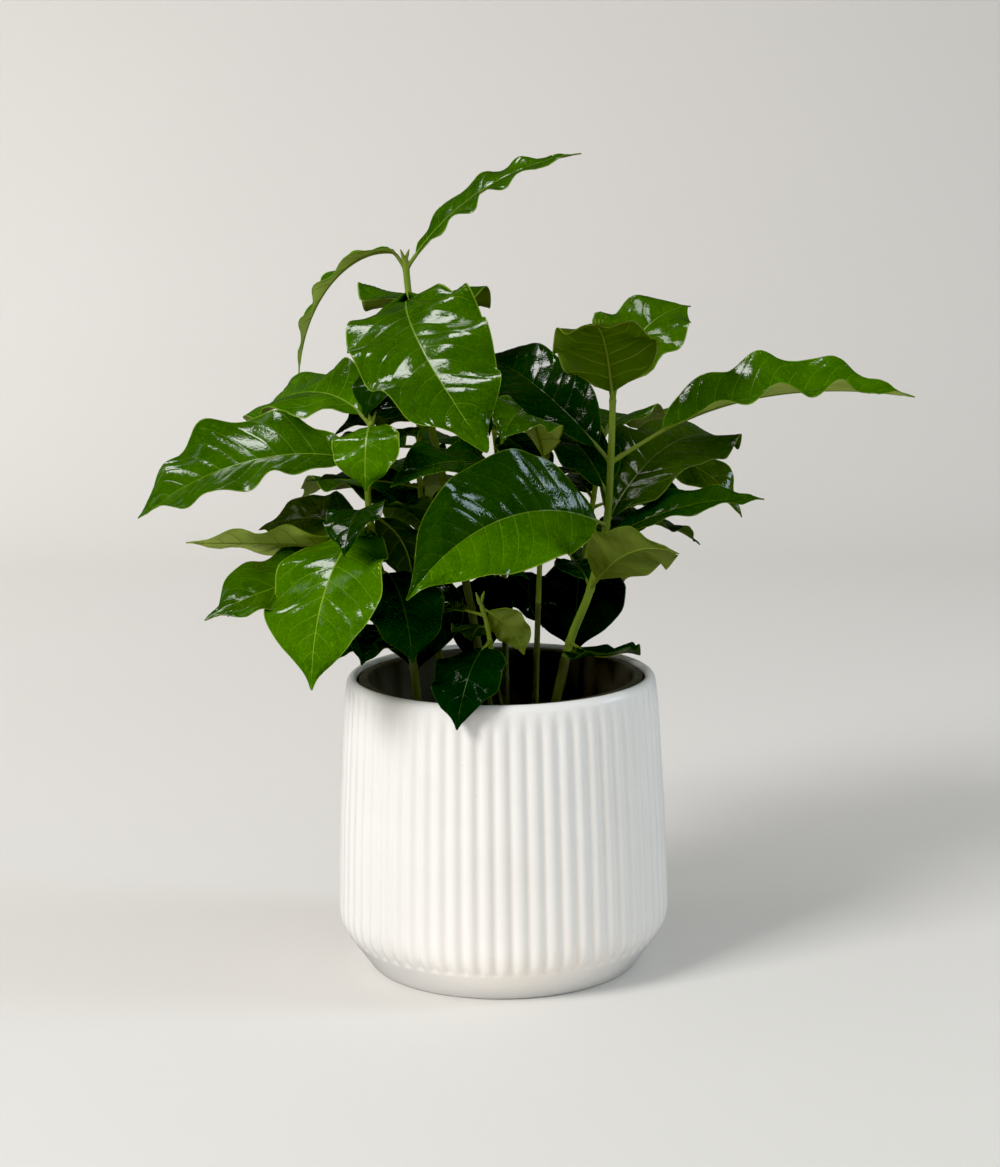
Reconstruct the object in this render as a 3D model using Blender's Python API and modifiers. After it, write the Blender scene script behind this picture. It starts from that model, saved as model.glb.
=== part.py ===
"""A young coffee plant: eight seedlings in a nursery pot that stands in a fluted white planter.

Lengths are in millimetres and angles in degrees, and a mesh is turned into metres when it is made.
The origin is the centre of the planter's flat underside. +Z is up, +X is right and +Y is away from
the side that is looked at. A heading is an angle from +X towards +Y.
"""

import math
from dataclasses import dataclass, field

import bmesh
import bpy
import numpy as np
from mathutils import Vector
from mathutils.bvhtree import BVHTree

MM = 0.001
GAP = 0.3
WELD = 0.01 * MM
FINE_WELD = 0.001 * MM

# The planter: the radius and height of each turn of its profile from the shoulder down, and its flutes.
RIM_HEIGHT = 123.6
MOUTH_RADIUS = 60.6
MOUTH_EDGE = 1.6
LIP = [(62.2, 123.6), (63.6, 123.1), (64.7, 121.4)]
SHOULDER = (65.2, 118.5)
WALL_CURVE = [(66.1, 110.0), (68.6, 66.0), (70.0, 24.0)]
HIP = (69.2, 18.5)
CHAMFER = (66.5, 14.0)
FOOT_RADIUS = 57.0
POT_WALL = 4.7
POT_FLOOR = 6.0
HOLLOW_HIP = (61.5, 16.0)
HOLLOW_FOOT_RADIUS = 52.0
CUT_ABOVE_RIM = 5.0
FLUTES = 64
FLUTE_DEPTH = 1.0
SHOULDER_FLUTE_SHARE = 0.3
SAME_HEIGHT = 0.1

# The black nursery pot inside it, and the soil.
LINER_FOOT_RADIUS = 45.0
LINER_TOP_RADIUS = 56.6
LINER_LIP_RADIUS = 59.6
LINER_TOP = 122.4
LINER_LIP_DROP = 7.0
LINER_WALL = 1.4
SOIL_TOP = 98.0
SOIL_CROWN = 1.5
SOIL_SHOULDER = 14.0
SOIL_CLEARANCE = 0.5
ROUND_STEPS = 48
ROUND_SHARP = 35.0

# A stem stands upright over its collar, so that it meets the soil squarely, and widens at its foot.
FOOT_COLLAR = 1.0
FOOT_FLARE = 0.35
FLARE_HEIGHT = 5.0
STEM_TAPER = 0.3
STEM_STEPS = 10
STEM_STRIDE = 3
STEM_END_CLEARANCE = 3.0

# A leaf: its stalk's radius, with its share of that at four places, and its blade's thickness and net.
STALK_RADIUS = 0.95
STALK_TAPER = (1.1, 0.9, 0.8, 0.45)
STALK_BEND = 0.6
STALK_ENDS = (0.06, 0.25)
LEAF_THICKNESS_SHARE = 0.0115
LEAST_LEAF_THICKNESS = 0.75
TIP_HALF_BREADTH = 0.4
BASE_ROUNDING = (2.0, 0.8)
TIP_ROUNDING = 2.3
SIDE_PHASE = 0.23
RIPPLE_POWER = 1.5
RIPPLE_START = 3.0
SPINE_STEPS = 48
LARGE_LEAF = 50.0
LARGE_NET = (6, 4)
SMALL_NET = (6, 2)
LEAF_SHARP = 50.0

# A leaf is tested on a coarse net, and a grown one that comes this near to another is skipped.
LEAF_CLEARANCE = 1.7
TEST_ROWS = 14
TEST_COLUMNS = 6


@dataclass
class Leaf:
    """One leaf: the height of its node on the stem, and how its blade leaves, bends and turns.

    A smaller value of tip makes the blade's outer half fuller.
    """

    at: float
    heading: float
    rise: float
    length: float
    width: float
    droop: float = 30.0
    late: float = 1.0
    swing: float = 0.0
    roll: float = 0.0
    twist: float = 0.0
    fold: float = 12.0
    camber: float = 0.12
    stalk: float = 8.0
    wave: float = 0.14
    waves: float = 3.0
    phase: float = 0.0
    widest: float = 0.42
    tip: float = 1.25


@dataclass
class Pair:
    """Two opposite leaves that the rule grows at one node; second is the inner one's share of the size."""

    at: float
    heading: float
    length: float
    width: float
    rise: float = 18.0
    droop: float = 60.0
    second: float = 0.55


@dataclass
class Seedling:
    """A stem through a few places, from the soil to its tip, with its leaves."""

    radius: float
    bare: float
    places: list
    leaves: list = field(default_factory=list)
    pairs: list = field(default_factory=list)


SEEDLINGS = {
    "tall": Seedling(
        radius=1.9,
        bare=188,
        places=[(-4, 8), (-14, 6, 160), (-30, 2, 240), (-35, 0, 275), (-37, 0, 296)],
        leaves=[
            Leaf(292, 182, 56, 72, 18, droop=142, late=0.35, roll=2, fold=24, stalk=6.5, wave=0.2, waves=4.5),
            Leaf(292, 10, 53, 82, 22, droop=47, roll=14, fold=14, stalk=7, wave=0.16, waves=4.5),
            Leaf(275, -97, 43, 116, 55, droop=90, late=0.28, swing=57, roll=20, stalk=3,
                 wave=0.14, waves=4.2, widest=0.4, tip=0.75),
            Leaf(275, 84, 14, 84, 56, droop=60, fold=6, camber=0.05, stalk=6, wave=0.16),
            Leaf(204, -66, -10, 50, 32, droop=70),
            Leaf(228, -150, -12, 26, 20, droop=40, stalk=5),
        ],
        pairs=[
            Pair(243, 92, 46, 30, second=0),
            Pair(206, 75, 48, 30, second=0),
            Pair(227, 118, 44, 26, second=0),
        ],
    ),
    "left": Seedling(
        radius=1.75,
        bare=136,
        places=[
            (-33, -22),
            (-37, -24, 140),
            (-46, -25, 162),
            (-52, -24, 190),
            (-53, -20, 214),
            (-51, -18, 232),
        ],
        leaves=[
            Leaf(230, 134, 34, 82, 45, droop=74, late=0.7, roll=-22),
            Leaf(230, -94, 0, 34, 28, droop=112, fold=8, roll=10, stalk=5),
            Leaf(214, 186, 20, 93, 50, droop=58, late=0.7, roll=-29, fold=22, stalk=6, waves=3.5, widest=0.5),
            Leaf(214, 118, 16, 44, 28, droop=40, roll=-20),
            Leaf(190, -115, -8, 83, 48, droop=79, swing=8, roll=4, fold=8, stalk=4, widest=0.5),
            Leaf(181, 186, 5, 68, 24, droop=4, roll=32),
            Leaf(186, 156, 18, 46, 32, droop=44, roll=-28),
            Leaf(172, 205, 2, 71, 44, droop=28, roll=-20, stalk=6),
            Leaf(172, -66, -2, 44, 34, droop=80, late=0.6),
            Leaf(146, 200, 5, 26, 16, droop=60, roll=-20),
            Leaf(146, -120, 10, 28, 22, droop=60),
            Leaf(196, 50, 4, 40, 30, droop=70, roll=-10, stalk=6),
        ],
    ),
    "right": Seedling(
        radius=1.9,
        bare=133,
        places=[(19, -16), (28, -15, 137), (37, -13, 160), (44, -11, 187), (46, -10, 213), (47, -10, 240)],
        leaves=[
            Leaf(238, -100, 57, 66, 41, droop=57, roll=4, fold=4, stalk=5),
            Leaf(238, 36, 74, 54, 42, droop=74, roll=18, stalk=6, widest=0.46),
            Leaf(213, 20, 27, 114, 44, droop=38, late=0.7, swing=-12, roll=10, twist=12, fold=32, stalk=26,
                 wave=0.16, waves=4, phase=0.4, widest=0.42),
            Leaf(213, 134, 38, 94, 36, droop=36, swing=-20, roll=-28, fold=20, stalk=10),
            Leaf(187, -138, 23, 110, 52, droop=69, roll=-56, fold=22, stalk=6, wave=0.12),
            Leaf(187, 46, 50, 104, 46, droop=78, swing=12, roll=12, fold=10, stalk=4, widest=0.5),
            Leaf(198, 114, 42, 56, 30, droop=40, stalk=6),
            Leaf(180, 4, 29, 64, 22, droop=34, roll=20, fold=20, stalk=6),
            Leaf(161, -63, 39, 68, 30, droop=45, roll=-35, stalk=8),
            Leaf(161, 100, 18, 36, 20, droop=30),
            Leaf(139, -65, -6, 46, 30, droop=-34),
        ],
    ),
    "middle": Seedling(
        radius=1.35,
        bare=152,
        places=[(14, 4), (16, 5, 150), (18, 5, 190), (20, 5, 213)],
        leaves=[
            Leaf(207, -110, 70, 62, 30, droop=118, roll=-28),
            Leaf(192, -144, 44, 74, 38, droop=75, roll=-14, stalk=10),
            Leaf(178, 10, 14, 42, 24, droop=40, stalk=6),
        ],
    ),
    "front": Seedling(
        radius=1.25,
        bare=130,
        places=[(2, -16), (-2, -26, 125), (-5, -31, 148), (-8, -33, 160)],
        leaves=[
            Leaf(143, -108, -10, 45, 30, droop=54, roll=4),
            Leaf(157, 12, -30, 24, 16, droop=45, roll=-55, stalk=3),
            Leaf(154, 160, 12, 27, 22, droop=80),
            Leaf(149, 104, -6, 27, 22, droop=36, stalk=5),
        ],
    ),
    "back_left": Seedling(
        radius=1.5,
        bare=144,
        places=[(-22, 26), (-30, 34, 150), (-34, 40, 200), (-34, 44, 224)],
        leaves=[
            Leaf(160, -98, -4, 48, 40, droop=80, late=0.6),
        ],
        pairs=[
            Pair(222, 155, 66, 36),
            Pair(200, 112, 80, 40, second=0),
            Pair(182, 130, 84, 42),
            Pair(162, 175, 80, 40),
            Pair(212, 60, 50, 28, second=0),
            Pair(148, 120, 60, 34, second=0),
        ],
    ),
    "back_right": Seedling(
        radius=1.5,
        bare=152,
        places=[(24, 28), (34, 40, 150), (42, 48, 195), (46, 52, 218)],
        leaves=[
            Leaf(204, 0, 16, 66, 30, droop=84, roll=30),
            Leaf(186, 4, 20, 36, 22, droop=40, roll=30),
            Leaf(163, -98, -2, 46, 42, droop=78, late=0.6),
        ],
        pairs=[
            Pair(216, 60, 62, 36, second=0),
            Pair(190, 100, 78, 42, second=0),
            Pair(160, 82, 64, 38, second=0),
            Pair(172, 34, 56, 32, second=0),
        ],
    ),
    "back": Seedling(
        radius=1.5,
        bare=152,
        places=[(2, 36), (2, 48, 150), (0, 56, 200), (-2, 60, 222)],
        leaves=[
            Leaf(158, -112, -4, 48, 30, droop=78, late=0.6),
        ],
        pairs=[
            Pair(220, 80, 74, 38, second=0),
            Pair(194, 118, 60, 34, second=0),
            Pair(162, 90, 84, 42, second=0),
            Pair(207, 12, 44, 26, second=0),
            Pair(180, 96, 60, 34, second=0),
        ],
    ),
}

SEED = 7
GROWTH_HEADING_SPREAD = 10.0
GROWTH_ANGLE_SPREAD = 10.0
GROWTH_SIZE_SPREAD = 0.1
GROWTH_FOLD = 14.0
GROWTH_STALK = 6.0


def clear_scene():
    for item in list(bpy.data.objects):
        bpy.data.objects.remove(item, do_unlink=True)


def make_material(name, colour, roughness, metallic=0.0):
    material = bpy.data.materials.new(name)
    material.use_nodes = True
    shader = material.node_tree.nodes["Principled BSDF"]
    shader.inputs["Base Color"].default_value = (*colour, 1.0)
    shader.inputs["Roughness"].default_value = roughness
    shader.inputs["Metallic"].default_value = metallic
    return material


def evaluated_copy(source, name, home, weld=WELD):
    """Turns an object with its modifiers, or a curve with its caps, into a plain welded mesh object."""
    graph = bpy.context.evaluated_depsgraph_get()
    mesh = bpy.data.meshes.new_from_object(source.evaluated_get(graph))
    work = bmesh.new()
    work.from_mesh(mesh)
    bmesh.ops.remove_doubles(work, verts=work.verts, dist=weld)
    work.to_mesh(mesh)
    work.free()
    made = bpy.data.objects.new(name, mesh)
    made.matrix_world = source.matrix_world
    home.objects.link(made)
    bpy.data.objects.remove(source, do_unlink=True)
    made.name = name
    return made


def turned(name, profile, steps, home):
    """A closed profile at +X, run from the top down its outer side, turned about Z."""
    mesh = bpy.data.meshes.new(name + "_profile")
    points = [(radius * MM, 0.0, height * MM) for radius, height in profile]
    closed = profile[0][0] > 0
    edges = [(i, i + 1) for i in range(len(points) - 1)]
    if closed:
        edges.append((len(points) - 1, 0))
    mesh.from_pydata(points, edges, [])
    source = bpy.data.objects.new(name + "_profile", mesh)
    home.objects.link(source)
    screw = source.modifiers.new("Turn", "SCREW")
    screw.axis = "Z"
    screw.steps = steps
    screw.render_steps = steps
    screw.use_merge_vertices = True
    screw.merge_threshold = 0.00001
    bpy.context.view_layer.update()
    return evaluated_copy(source, name, home)


def pot_profile():
    return [
        (0, RIM_HEIGHT),
        *LIP,
        SHOULDER,
        *WALL_CURVE,
        HIP,
        CHAMFER,
        (FOOT_RADIUS, 0),
        (0, 0),
    ]


def hollow_profile():
    above = RIM_HEIGHT + CUT_ABOVE_RIM
    return [
        (0, above),
        (MOUTH_RADIUS, above),
        (MOUTH_RADIUS, RIM_HEIGHT - MOUTH_EDGE),
        *[(radius - POT_WALL, height) for radius, height in WALL_CURVE],
        HOLLOW_HIP,
        (HOLLOW_FOOT_RADIUS, POT_FLOOR),
        (0, POT_FLOOR),
    ]


def press_flutes(pot):
    """Every second column of the wall goes in by the flute's depth, and down the chamfer at its foot."""
    column_angle = math.pi / FLUTES
    slope = CHAMFER[1] / (CHAMFER[0] - FOOT_RADIUS)
    for vertex in pot.data.vertices:
        height = vertex.co.z / MM
        if not CHAMFER[1] - SAME_HEIGHT < height < SHOULDER[1] + SAME_HEIGHT:
            continue
        column = round(math.atan2(vertex.co.y, vertex.co.x) / column_angle)
        if column % 2 == 0:
            continue
        depth = FLUTE_DEPTH if height < SHOULDER[1] - SAME_HEIGHT else SHOULDER_FLUTE_SHARE * FLUTE_DEPTH
        radius = math.hypot(vertex.co.x, vertex.co.y)
        share = (radius - depth * MM) / radius
        vertex.co.x *= share
        vertex.co.y *= share
        if height < CHAMFER[1] + SAME_HEIGHT:
            vertex.co.z -= depth * slope * MM


def subtract(body, cutter):
    cutter.hide_render = True
    cutter.display_type = "WIRE"
    cut = body.modifiers.new("Hollow", "BOOLEAN")
    cut.operation = "DIFFERENCE"
    cut.solver = "EXACT"
    cut.object = cutter


def finish_round(piece, finish):
    piece.data.materials.append(finish)
    piece.data.shade_smooth()
    piece.data.set_sharp_from_angle(angle=math.radians(ROUND_SHARP))


def make_pot(home, cutters, finish):
    pot = turned("pot", pot_profile(), 2 * FLUTES, home)
    press_flutes(pot)
    subtract(pot, turned("pot_hollow", hollow_profile(), ROUND_STEPS, cutters))
    finish_round(pot, finish)


def liner_radius(height):
    share = (height - POT_FLOOR - GAP) / (LINER_TOP - POT_FLOOR - GAP)
    return LINER_FOOT_RADIUS + share * (LINER_TOP_RADIUS - LINER_FOOT_RADIUS)


def make_liner(home, finish):
    foot = POT_FLOOR + GAP
    lip = LINER_TOP - LINER_LIP_DROP
    profile = [
        (LINER_TOP_RADIUS, LINER_TOP),
        (LINER_LIP_RADIUS, LINER_TOP),
        (LINER_LIP_RADIUS, lip),
        (LINER_LIP_RADIUS - LINER_WALL, lip),
        (LINER_LIP_RADIUS - LINER_WALL, LINER_TOP - LINER_WALL),
        (LINER_TOP_RADIUS, LINER_TOP - LINER_WALL),
        (LINER_FOOT_RADIUS, foot),
        (0, foot),
        (0, foot + LINER_WALL),
        (LINER_FOOT_RADIUS - LINER_WALL, foot + LINER_WALL),
        (LINER_TOP_RADIUS - LINER_WALL, LINER_TOP - LINER_WALL),
    ]
    finish_round(turned("nursery_pot", profile, ROUND_STEPS, home), finish)


def soil_radius(height):
    return liner_radius(height) - LINER_WALL - SOIL_CLEARANCE


def make_soil(home, finish):
    foot = POT_FLOOR + GAP + LINER_WALL + GAP
    edge = SOIL_TOP - SOIL_CROWN
    profile = [
        (0, SOIL_TOP),
        (soil_radius(edge) - SOIL_SHOULDER, SOIL_TOP),
        (soil_radius(edge), edge),
        (soil_radius(foot), foot),
        (0, foot),
    ]
    finish_round(turned("soil", profile, ROUND_STEPS, home), finish)


def direction(heading, rise):
    turn, lift = math.radians(heading), math.radians(rise)
    return np.array([math.cos(lift) * math.cos(turn), math.cos(lift) * math.sin(turn), math.sin(lift)])


def stem_path(seedling):
    """A smooth line through the stem's places; the first lies on the soil."""
    places = [(*place, SOIL_TOP + GAP) if len(place) == 2 else place for place in seedling.places]
    places = np.array(places, float)
    ends = np.vstack([2 * places[0] - places[1], places, 2 * places[-1] - places[-2]])
    line = []
    for i in range(1, len(ends) - 2):
        a, b, c, d = ends[i - 1 : i + 3]
        for t in np.linspace(0, 1, STEM_STEPS, endpoint=False):
            line.append(
                b + 0.5 * t * (c - a + t * (2 * a - 5 * b + 4 * c - d + t * (3 * (b - c) + d - a)))
            )
    line.append(places[-1])
    return np.array(line)


def point_at(path, height):
    return np.array([np.interp(height, path[:, 2], path[:, axis]) for axis in range(3)])


def half_breadth(leaf, t):
    """Half the blade's breadth at t along it, as a share of its greatest half breadth."""
    if t < leaf.widest:
        return (1 - ((leaf.widest - t) / leaf.widest) ** BASE_ROUNDING[0]) ** BASE_ROUNDING[1]
    return (1 - ((t - leaf.widest) / (1 - leaf.widest)) ** TIP_ROUNDING) ** leaf.tip


def blade_frames(leaf, node):
    """Points along the blade's midrib, from its base to its tip, with its forward, side and up there."""
    point = node + direction(leaf.heading, leaf.rise) * leaf.stalk
    frames = []
    for step in range(SPINE_STEPS + 1):
        t = step / SPINE_STEPS
        heading = leaf.heading + leaf.swing * t
        forward = direction(heading, leaf.rise - leaf.droop * t**leaf.late)
        level = np.array([-math.sin(math.radians(heading)), math.cos(math.radians(heading)), 0.0])
        lift = np.cross(forward, level)
        turn = math.radians(leaf.roll + leaf.twist * t)
        side = level * math.cos(turn) + lift * math.sin(turn)
        up = lift * math.cos(turn) - level * math.sin(turn)
        frames.append((point, side, up))
        point = point + forward * leaf.length / SPINE_STEPS
    return frames


def blade_point(leaf, frames, t, across):
    """The blade's middle surface at t along it and across it, from -1 at one margin to 1 at the other."""
    point, side, up = frames[round(t * SPINE_STEPS)]
    breadth = leaf.width / 2 * half_breadth(leaf, t) + TIP_HALF_BREADTH
    fold = math.radians(leaf.fold)
    ripple = math.sin(2 * math.pi * (leaf.waves * t + leaf.phase + SIDE_PHASE * (across < 0)))
    height = abs(across) * math.sin(fold) - leaf.camber * across**2
    height += leaf.wave * ripple * abs(across) ** RIPPLE_POWER * min(1, RIPPLE_START * t)
    return point + side * across * breadth * math.cos(fold) + up * height * breadth


def grown_leaves(pair, dice):
    for turn, size in ((0, 1.0), (180, pair.second)):
        if size == 0:
            continue
        yield Leaf(
            at=pair.at,
            heading=pair.heading + turn + GROWTH_HEADING_SPREAD * dice.uniform(-1, 1),
            rise=pair.rise + GROWTH_ANGLE_SPREAD * dice.uniform(-1, 1),
            length=pair.length * size * (1 + GROWTH_SIZE_SPREAD * dice.uniform(-1, 1)),
            width=pair.width * size * (1 + GROWTH_SIZE_SPREAD * dice.uniform(-1, 1)),
            droop=pair.droop + GROWTH_ANGLE_SPREAD * dice.uniform(-1, 1),
            roll=GROWTH_ANGLE_SPREAD * dice.uniform(-1, 1),
            phase=dice.uniform(0, 1),
            fold=GROWTH_FOLD,
            stalk=GROWTH_STALK,
        )


def test_skin(leaf, node):
    """A thin net over the blade and its stalk, to find what it would touch."""
    frames = blade_frames(leaf, node)
    points = []
    for row in range(TEST_ROWS + 1):
        for column in range(TEST_COLUMNS + 1):
            across = 2 * column / TEST_COLUMNS - 1
            points.append(Vector(blade_point(leaf, frames, row / TEST_ROWS, across)))
    wide = TEST_COLUMNS + 1
    corners = [row * wide + column for row in range(TEST_ROWS) for column in range(TEST_COLUMNS)]
    faces = [(corner, corner + 1, corner + wide + 1, corner + wide) for corner in corners]
    return points, BVHTree.FromPolygons(points, faces)


def touches(skin, other):
    points, tree = skin
    other_points, other_tree = other
    if tree.overlap(other_tree):
        return True
    near = min(
        min(other_tree.find_nearest(point)[3] for point in points),
        min(tree.find_nearest(point)[3] for point in other_points),
    )
    return near < LEAF_CLEARANCE


def plan_leaves():
    """Each seedling's leaves: those with places of their own first, then the grown ones that find room."""
    dice = np.random.default_rng(SEED)
    plan = {name: [] for name in SEEDLINGS}
    skins = []
    for name, seedling in SEEDLINGS.items():
        path = stem_path(seedling)
        for leaf in seedling.leaves:
            plan[name].append(leaf)
            skins.append(test_skin(leaf, point_at(path, leaf.at)))
    for name, seedling in SEEDLINGS.items():
        path = stem_path(seedling)
        for pair in seedling.pairs:
            for leaf in grown_leaves(pair, dice):
                skin = test_skin(leaf, point_at(path, leaf.at))
                if any(touches(skin, other) for other in skins):
                    continue
                plan[name].append(leaf)
                skins.append(skin)
    return plan


def tapered_tube(name, points, radii, sides, home):
    """A curve with a bevel and filled caps, as a mesh; sides is its bevel resolution."""
    curve = bpy.data.curves.new(name, "CURVE")
    curve.dimensions = "3D"
    curve.bevel_depth = MM
    curve.bevel_resolution = sides
    curve.use_fill_caps = True
    spline = curve.splines.new("POLY")
    spline.points.add(len(points) - 1)
    for place, point, radius in zip(spline.points, points, radii):
        place.co = (*(point * MM), 1.0)
        place.radius = radius
    source = bpy.data.objects.new(name + "_line", curve)
    home.objects.link(source)
    bpy.context.view_layer.update()
    return evaluated_copy(source, name, home)


def stem_piece(name, seedling, low, high, home):
    path = stem_path(seedling)
    foot, tip = path[0][2], path[-1][2]
    inner = [
        point
        for point in path[::STEM_STRIDE]
        if low + STEM_END_CLEARANCE < point[2] < high - STEM_END_CLEARANCE
    ]
    points = [point_at(path, low), *inner, point_at(path, high)]
    if low == foot:
        points.insert(1, points[0] + np.array([0.0, 0.0, FOOT_COLLAR]))
    radii = []
    for point in points:
        share = (point[2] - foot) / (tip - foot)
        flare = FOOT_FLARE * math.exp(-(point[2] - foot) / FLARE_HEIGHT)
        radii.append(seedling.radius * (1 + flare - STEM_TAPER * share))
    return tapered_tube(name, points, radii, 1, home)


def make_blade(name, leaf, node, home):
    rows, columns = LARGE_NET if leaf.length > LARGE_LEAF else SMALL_NET
    work = bmesh.new()
    bmesh.ops.create_grid(work, x_segments=rows, y_segments=columns, size=1.0)
    frames = blade_frames(leaf, node)
    for vertex in work.verts:
        along, across = (vertex.co.x + 1) / 2, vertex.co.y
        vertex.co = Vector(blade_point(leaf, frames, along, across)) * MM
    mesh = bpy.data.meshes.new(name)
    work.to_mesh(mesh)
    work.free()
    source = bpy.data.objects.new(name + "_sheet", mesh)
    home.objects.link(source)
    shell = source.modifiers.new("Thickness", "SOLIDIFY")
    shell.thickness = max(LEAST_LEAF_THICKNESS, leaf.length * LEAF_THICKNESS_SHARE) * MM
    shell.offset = 0
    bpy.context.view_layer.update()
    return evaluated_copy(source, name, home)


def make_stalk(name, leaf, node, home):
    """The leaf's stalk, from the middle of the stem into the first part of the midrib."""
    frames = blade_frames(leaf, node)
    points = [node, node + direction(leaf.heading, leaf.rise) * leaf.stalk * STALK_BEND]
    points += [frames[round(share * SPINE_STEPS)][0] for share in STALK_ENDS]
    radii = [STALK_RADIUS * share for share in STALK_TAPER]
    return tapered_tube(name, points, radii, 0, home)


def drop_scraps(body):
    """Keeps only the largest piece of a mesh whose faces join along edges."""
    work = bmesh.new()
    work.from_mesh(body.data)
    left = set(work.faces)
    pieces = []
    while left:
        edge = [left.pop()]
        piece = []
        while edge:
            face = edge.pop()
            piece.append(face)
            for side in face.edges:
                for other in side.link_faces:
                    if other in left:
                        left.remove(other)
                        edge.append(other)
        pieces.append(piece)
    pieces.sort(key=len)
    for piece in pieces[:-1]:
        bmesh.ops.delete(work, geom=piece, context="FACES")
    bmesh.ops.triangulate(work, faces=work.faces)
    work.to_mesh(body.data)
    work.free()
    return len(pieces) - 1


def make_foliage(name, seedling, leaves, home, finish):
    """The leafy end of a stem with its leaves, fused by one union."""
    parts = bpy.data.collections.new(name + "_leaves")
    bpy.context.scene.collection.children.link(parts)
    path = stem_path(seedling)
    stem = stem_piece(name, seedling, seedling.bare + GAP, path[-1][2], home)
    for number, leaf in enumerate(leaves):
        node = point_at(path, leaf.at)
        make_blade(f"{name}_blade_{number}", leaf, node, parts)
        make_stalk(f"{name}_stalk_{number}", leaf, node, parts)
    join = stem.modifiers.new("Fuse", "BOOLEAN")
    join.operation = "UNION"
    join.solver = "MANIFOLD"
    join.operand_type = "COLLECTION"
    join.collection = parts
    bpy.context.view_layer.update()
    body = evaluated_copy(stem, name, home, FINE_WELD)
    for item in list(parts.objects):
        bpy.data.objects.remove(item, do_unlink=True)
    bpy.data.collections.remove(parts)
    scraps = drop_scraps(body)
    body.data.materials.append(finish)
    body.data.shade_smooth()
    body.data.set_sharp_from_angle(angle=math.radians(LEAF_SHARP))
    print(f"{name}: {len(leaves)} leaves, {len(body.data.polygons)} triangles, {scraps} scraps dropped")


def main():
    clear_scene()
    home = bpy.data.collections.new("potted_coffee_plant")
    cutters = bpy.data.collections.new("cutters")
    bpy.context.scene.collection.children.link(home)
    bpy.context.scene.collection.children.link(cutters)
    glaze = make_material("white_glaze", (0.84, 0.83, 0.80), 0.35)
    plastic = make_material("black_plastic", (0.02, 0.02, 0.02), 0.45)
    peat = make_material("peat", (0.05, 0.03, 0.02), 0.95)
    green_stem = make_material("green_stem", (0.28, 0.32, 0.06), 0.5)
    green_leaf = make_material("green_leaf", (0.03, 0.13, 0.01), 0.25)
    make_pot(home, cutters, glaze)
    make_liner(home, plastic)
    make_soil(home, peat)
    plan = plan_leaves()
    for name, seedling in SEEDLINGS.items():
        stem = stem_piece(name + "_stem", seedling, SOIL_TOP + GAP, seedling.bare, home)
        stem.data.materials.append(green_stem)
        stem.data.shade_smooth()
        make_foliage(name + "_foliage", seedling, plan[name], home, green_leaf)
    print("leaves in all:", sum(len(leaves) for leaves in plan.values()))


main()
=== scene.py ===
# %% [markdown]
# # A young coffee plant in a fluted white planter
# Eight seedlings share one black nursery pot, which stands inside a glazed planter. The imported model
# gives every stem, leaf mass and pot its place, so we load it first. Each piece below is then made
# around that frame, at the same place and size.

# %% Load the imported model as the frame
import math
from dataclasses import dataclass, field

import bpy
import numpy as np
from mathutils import Euler, Matrix, Vector, noise
from mathutils.bvhtree import BVHTree


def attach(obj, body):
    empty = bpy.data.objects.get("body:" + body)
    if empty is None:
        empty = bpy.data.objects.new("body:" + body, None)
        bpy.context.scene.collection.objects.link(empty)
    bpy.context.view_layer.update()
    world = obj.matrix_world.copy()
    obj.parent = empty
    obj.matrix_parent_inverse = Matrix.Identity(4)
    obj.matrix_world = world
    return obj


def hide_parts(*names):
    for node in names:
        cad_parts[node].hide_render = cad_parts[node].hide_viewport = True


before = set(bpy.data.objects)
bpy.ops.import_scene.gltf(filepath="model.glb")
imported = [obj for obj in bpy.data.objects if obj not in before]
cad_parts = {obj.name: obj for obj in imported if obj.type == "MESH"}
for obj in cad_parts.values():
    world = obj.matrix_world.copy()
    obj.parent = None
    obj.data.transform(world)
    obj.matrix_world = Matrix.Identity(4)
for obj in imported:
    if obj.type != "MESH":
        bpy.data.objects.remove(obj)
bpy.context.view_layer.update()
MM = 0.001

# %% [markdown]
# ## The camera
# The photograph was taken with a long lens from a little above the rim. Its distance and tilt follow
# from the ellipse of the planter's mouth and the width of its foot. The camera's own roll is under one
# degree, and it is put in as a turn about the line of sight, after the tilt.

# %% Place the camera
IMAGE_HEIGHT = 1167
FOCAL_PIXELS = 2400
SENSOR = 36.0
CAMERA_PLACE = (0.0001, -0.9856, 0.3362)
CAMERA_DEPRESSION = 10.06
CAMERA_ROLL = -0.69

bpy.ops.object.select_all(action="DESELECT")
bpy.ops.object.camera_add(location=CAMERA_PLACE)
camera = bpy.context.object
camera.name = "camera"
tilt = Euler((math.radians(90 - CAMERA_DEPRESSION), 0, 0)).to_matrix()
camera.rotation_euler = (tilt @ Matrix.Rotation(math.radians(CAMERA_ROLL), 3, "Z")).to_euler()
camera.data.sensor_width = SENSOR
camera.data.lens = FOCAL_PIXELS * SENSOR / IMAGE_HEIGHT
bpy.context.scene.camera = camera
print("lens in mm:", round(camera.data.lens, 2))

# %% [markdown]
# ## The floor and the backdrop
# A product photographer hangs one long sheet of pale paper behind the object and lets it run forward
# under it, so that no corner shows. We make it the same way: a plane whose back edge is extruded
# straight up, with the fold rounded by a wide bevel.

# %% Make the sweep of pale paper
SWEEP_WIDTH = 7.0
SWEEP_BACK = 1.9
SWEEP_HEIGHT = 3.2
SWEEP_BEND = 0.9
SWEEP_BEND_STEPS = 32
NEARLY = 0.01


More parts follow.
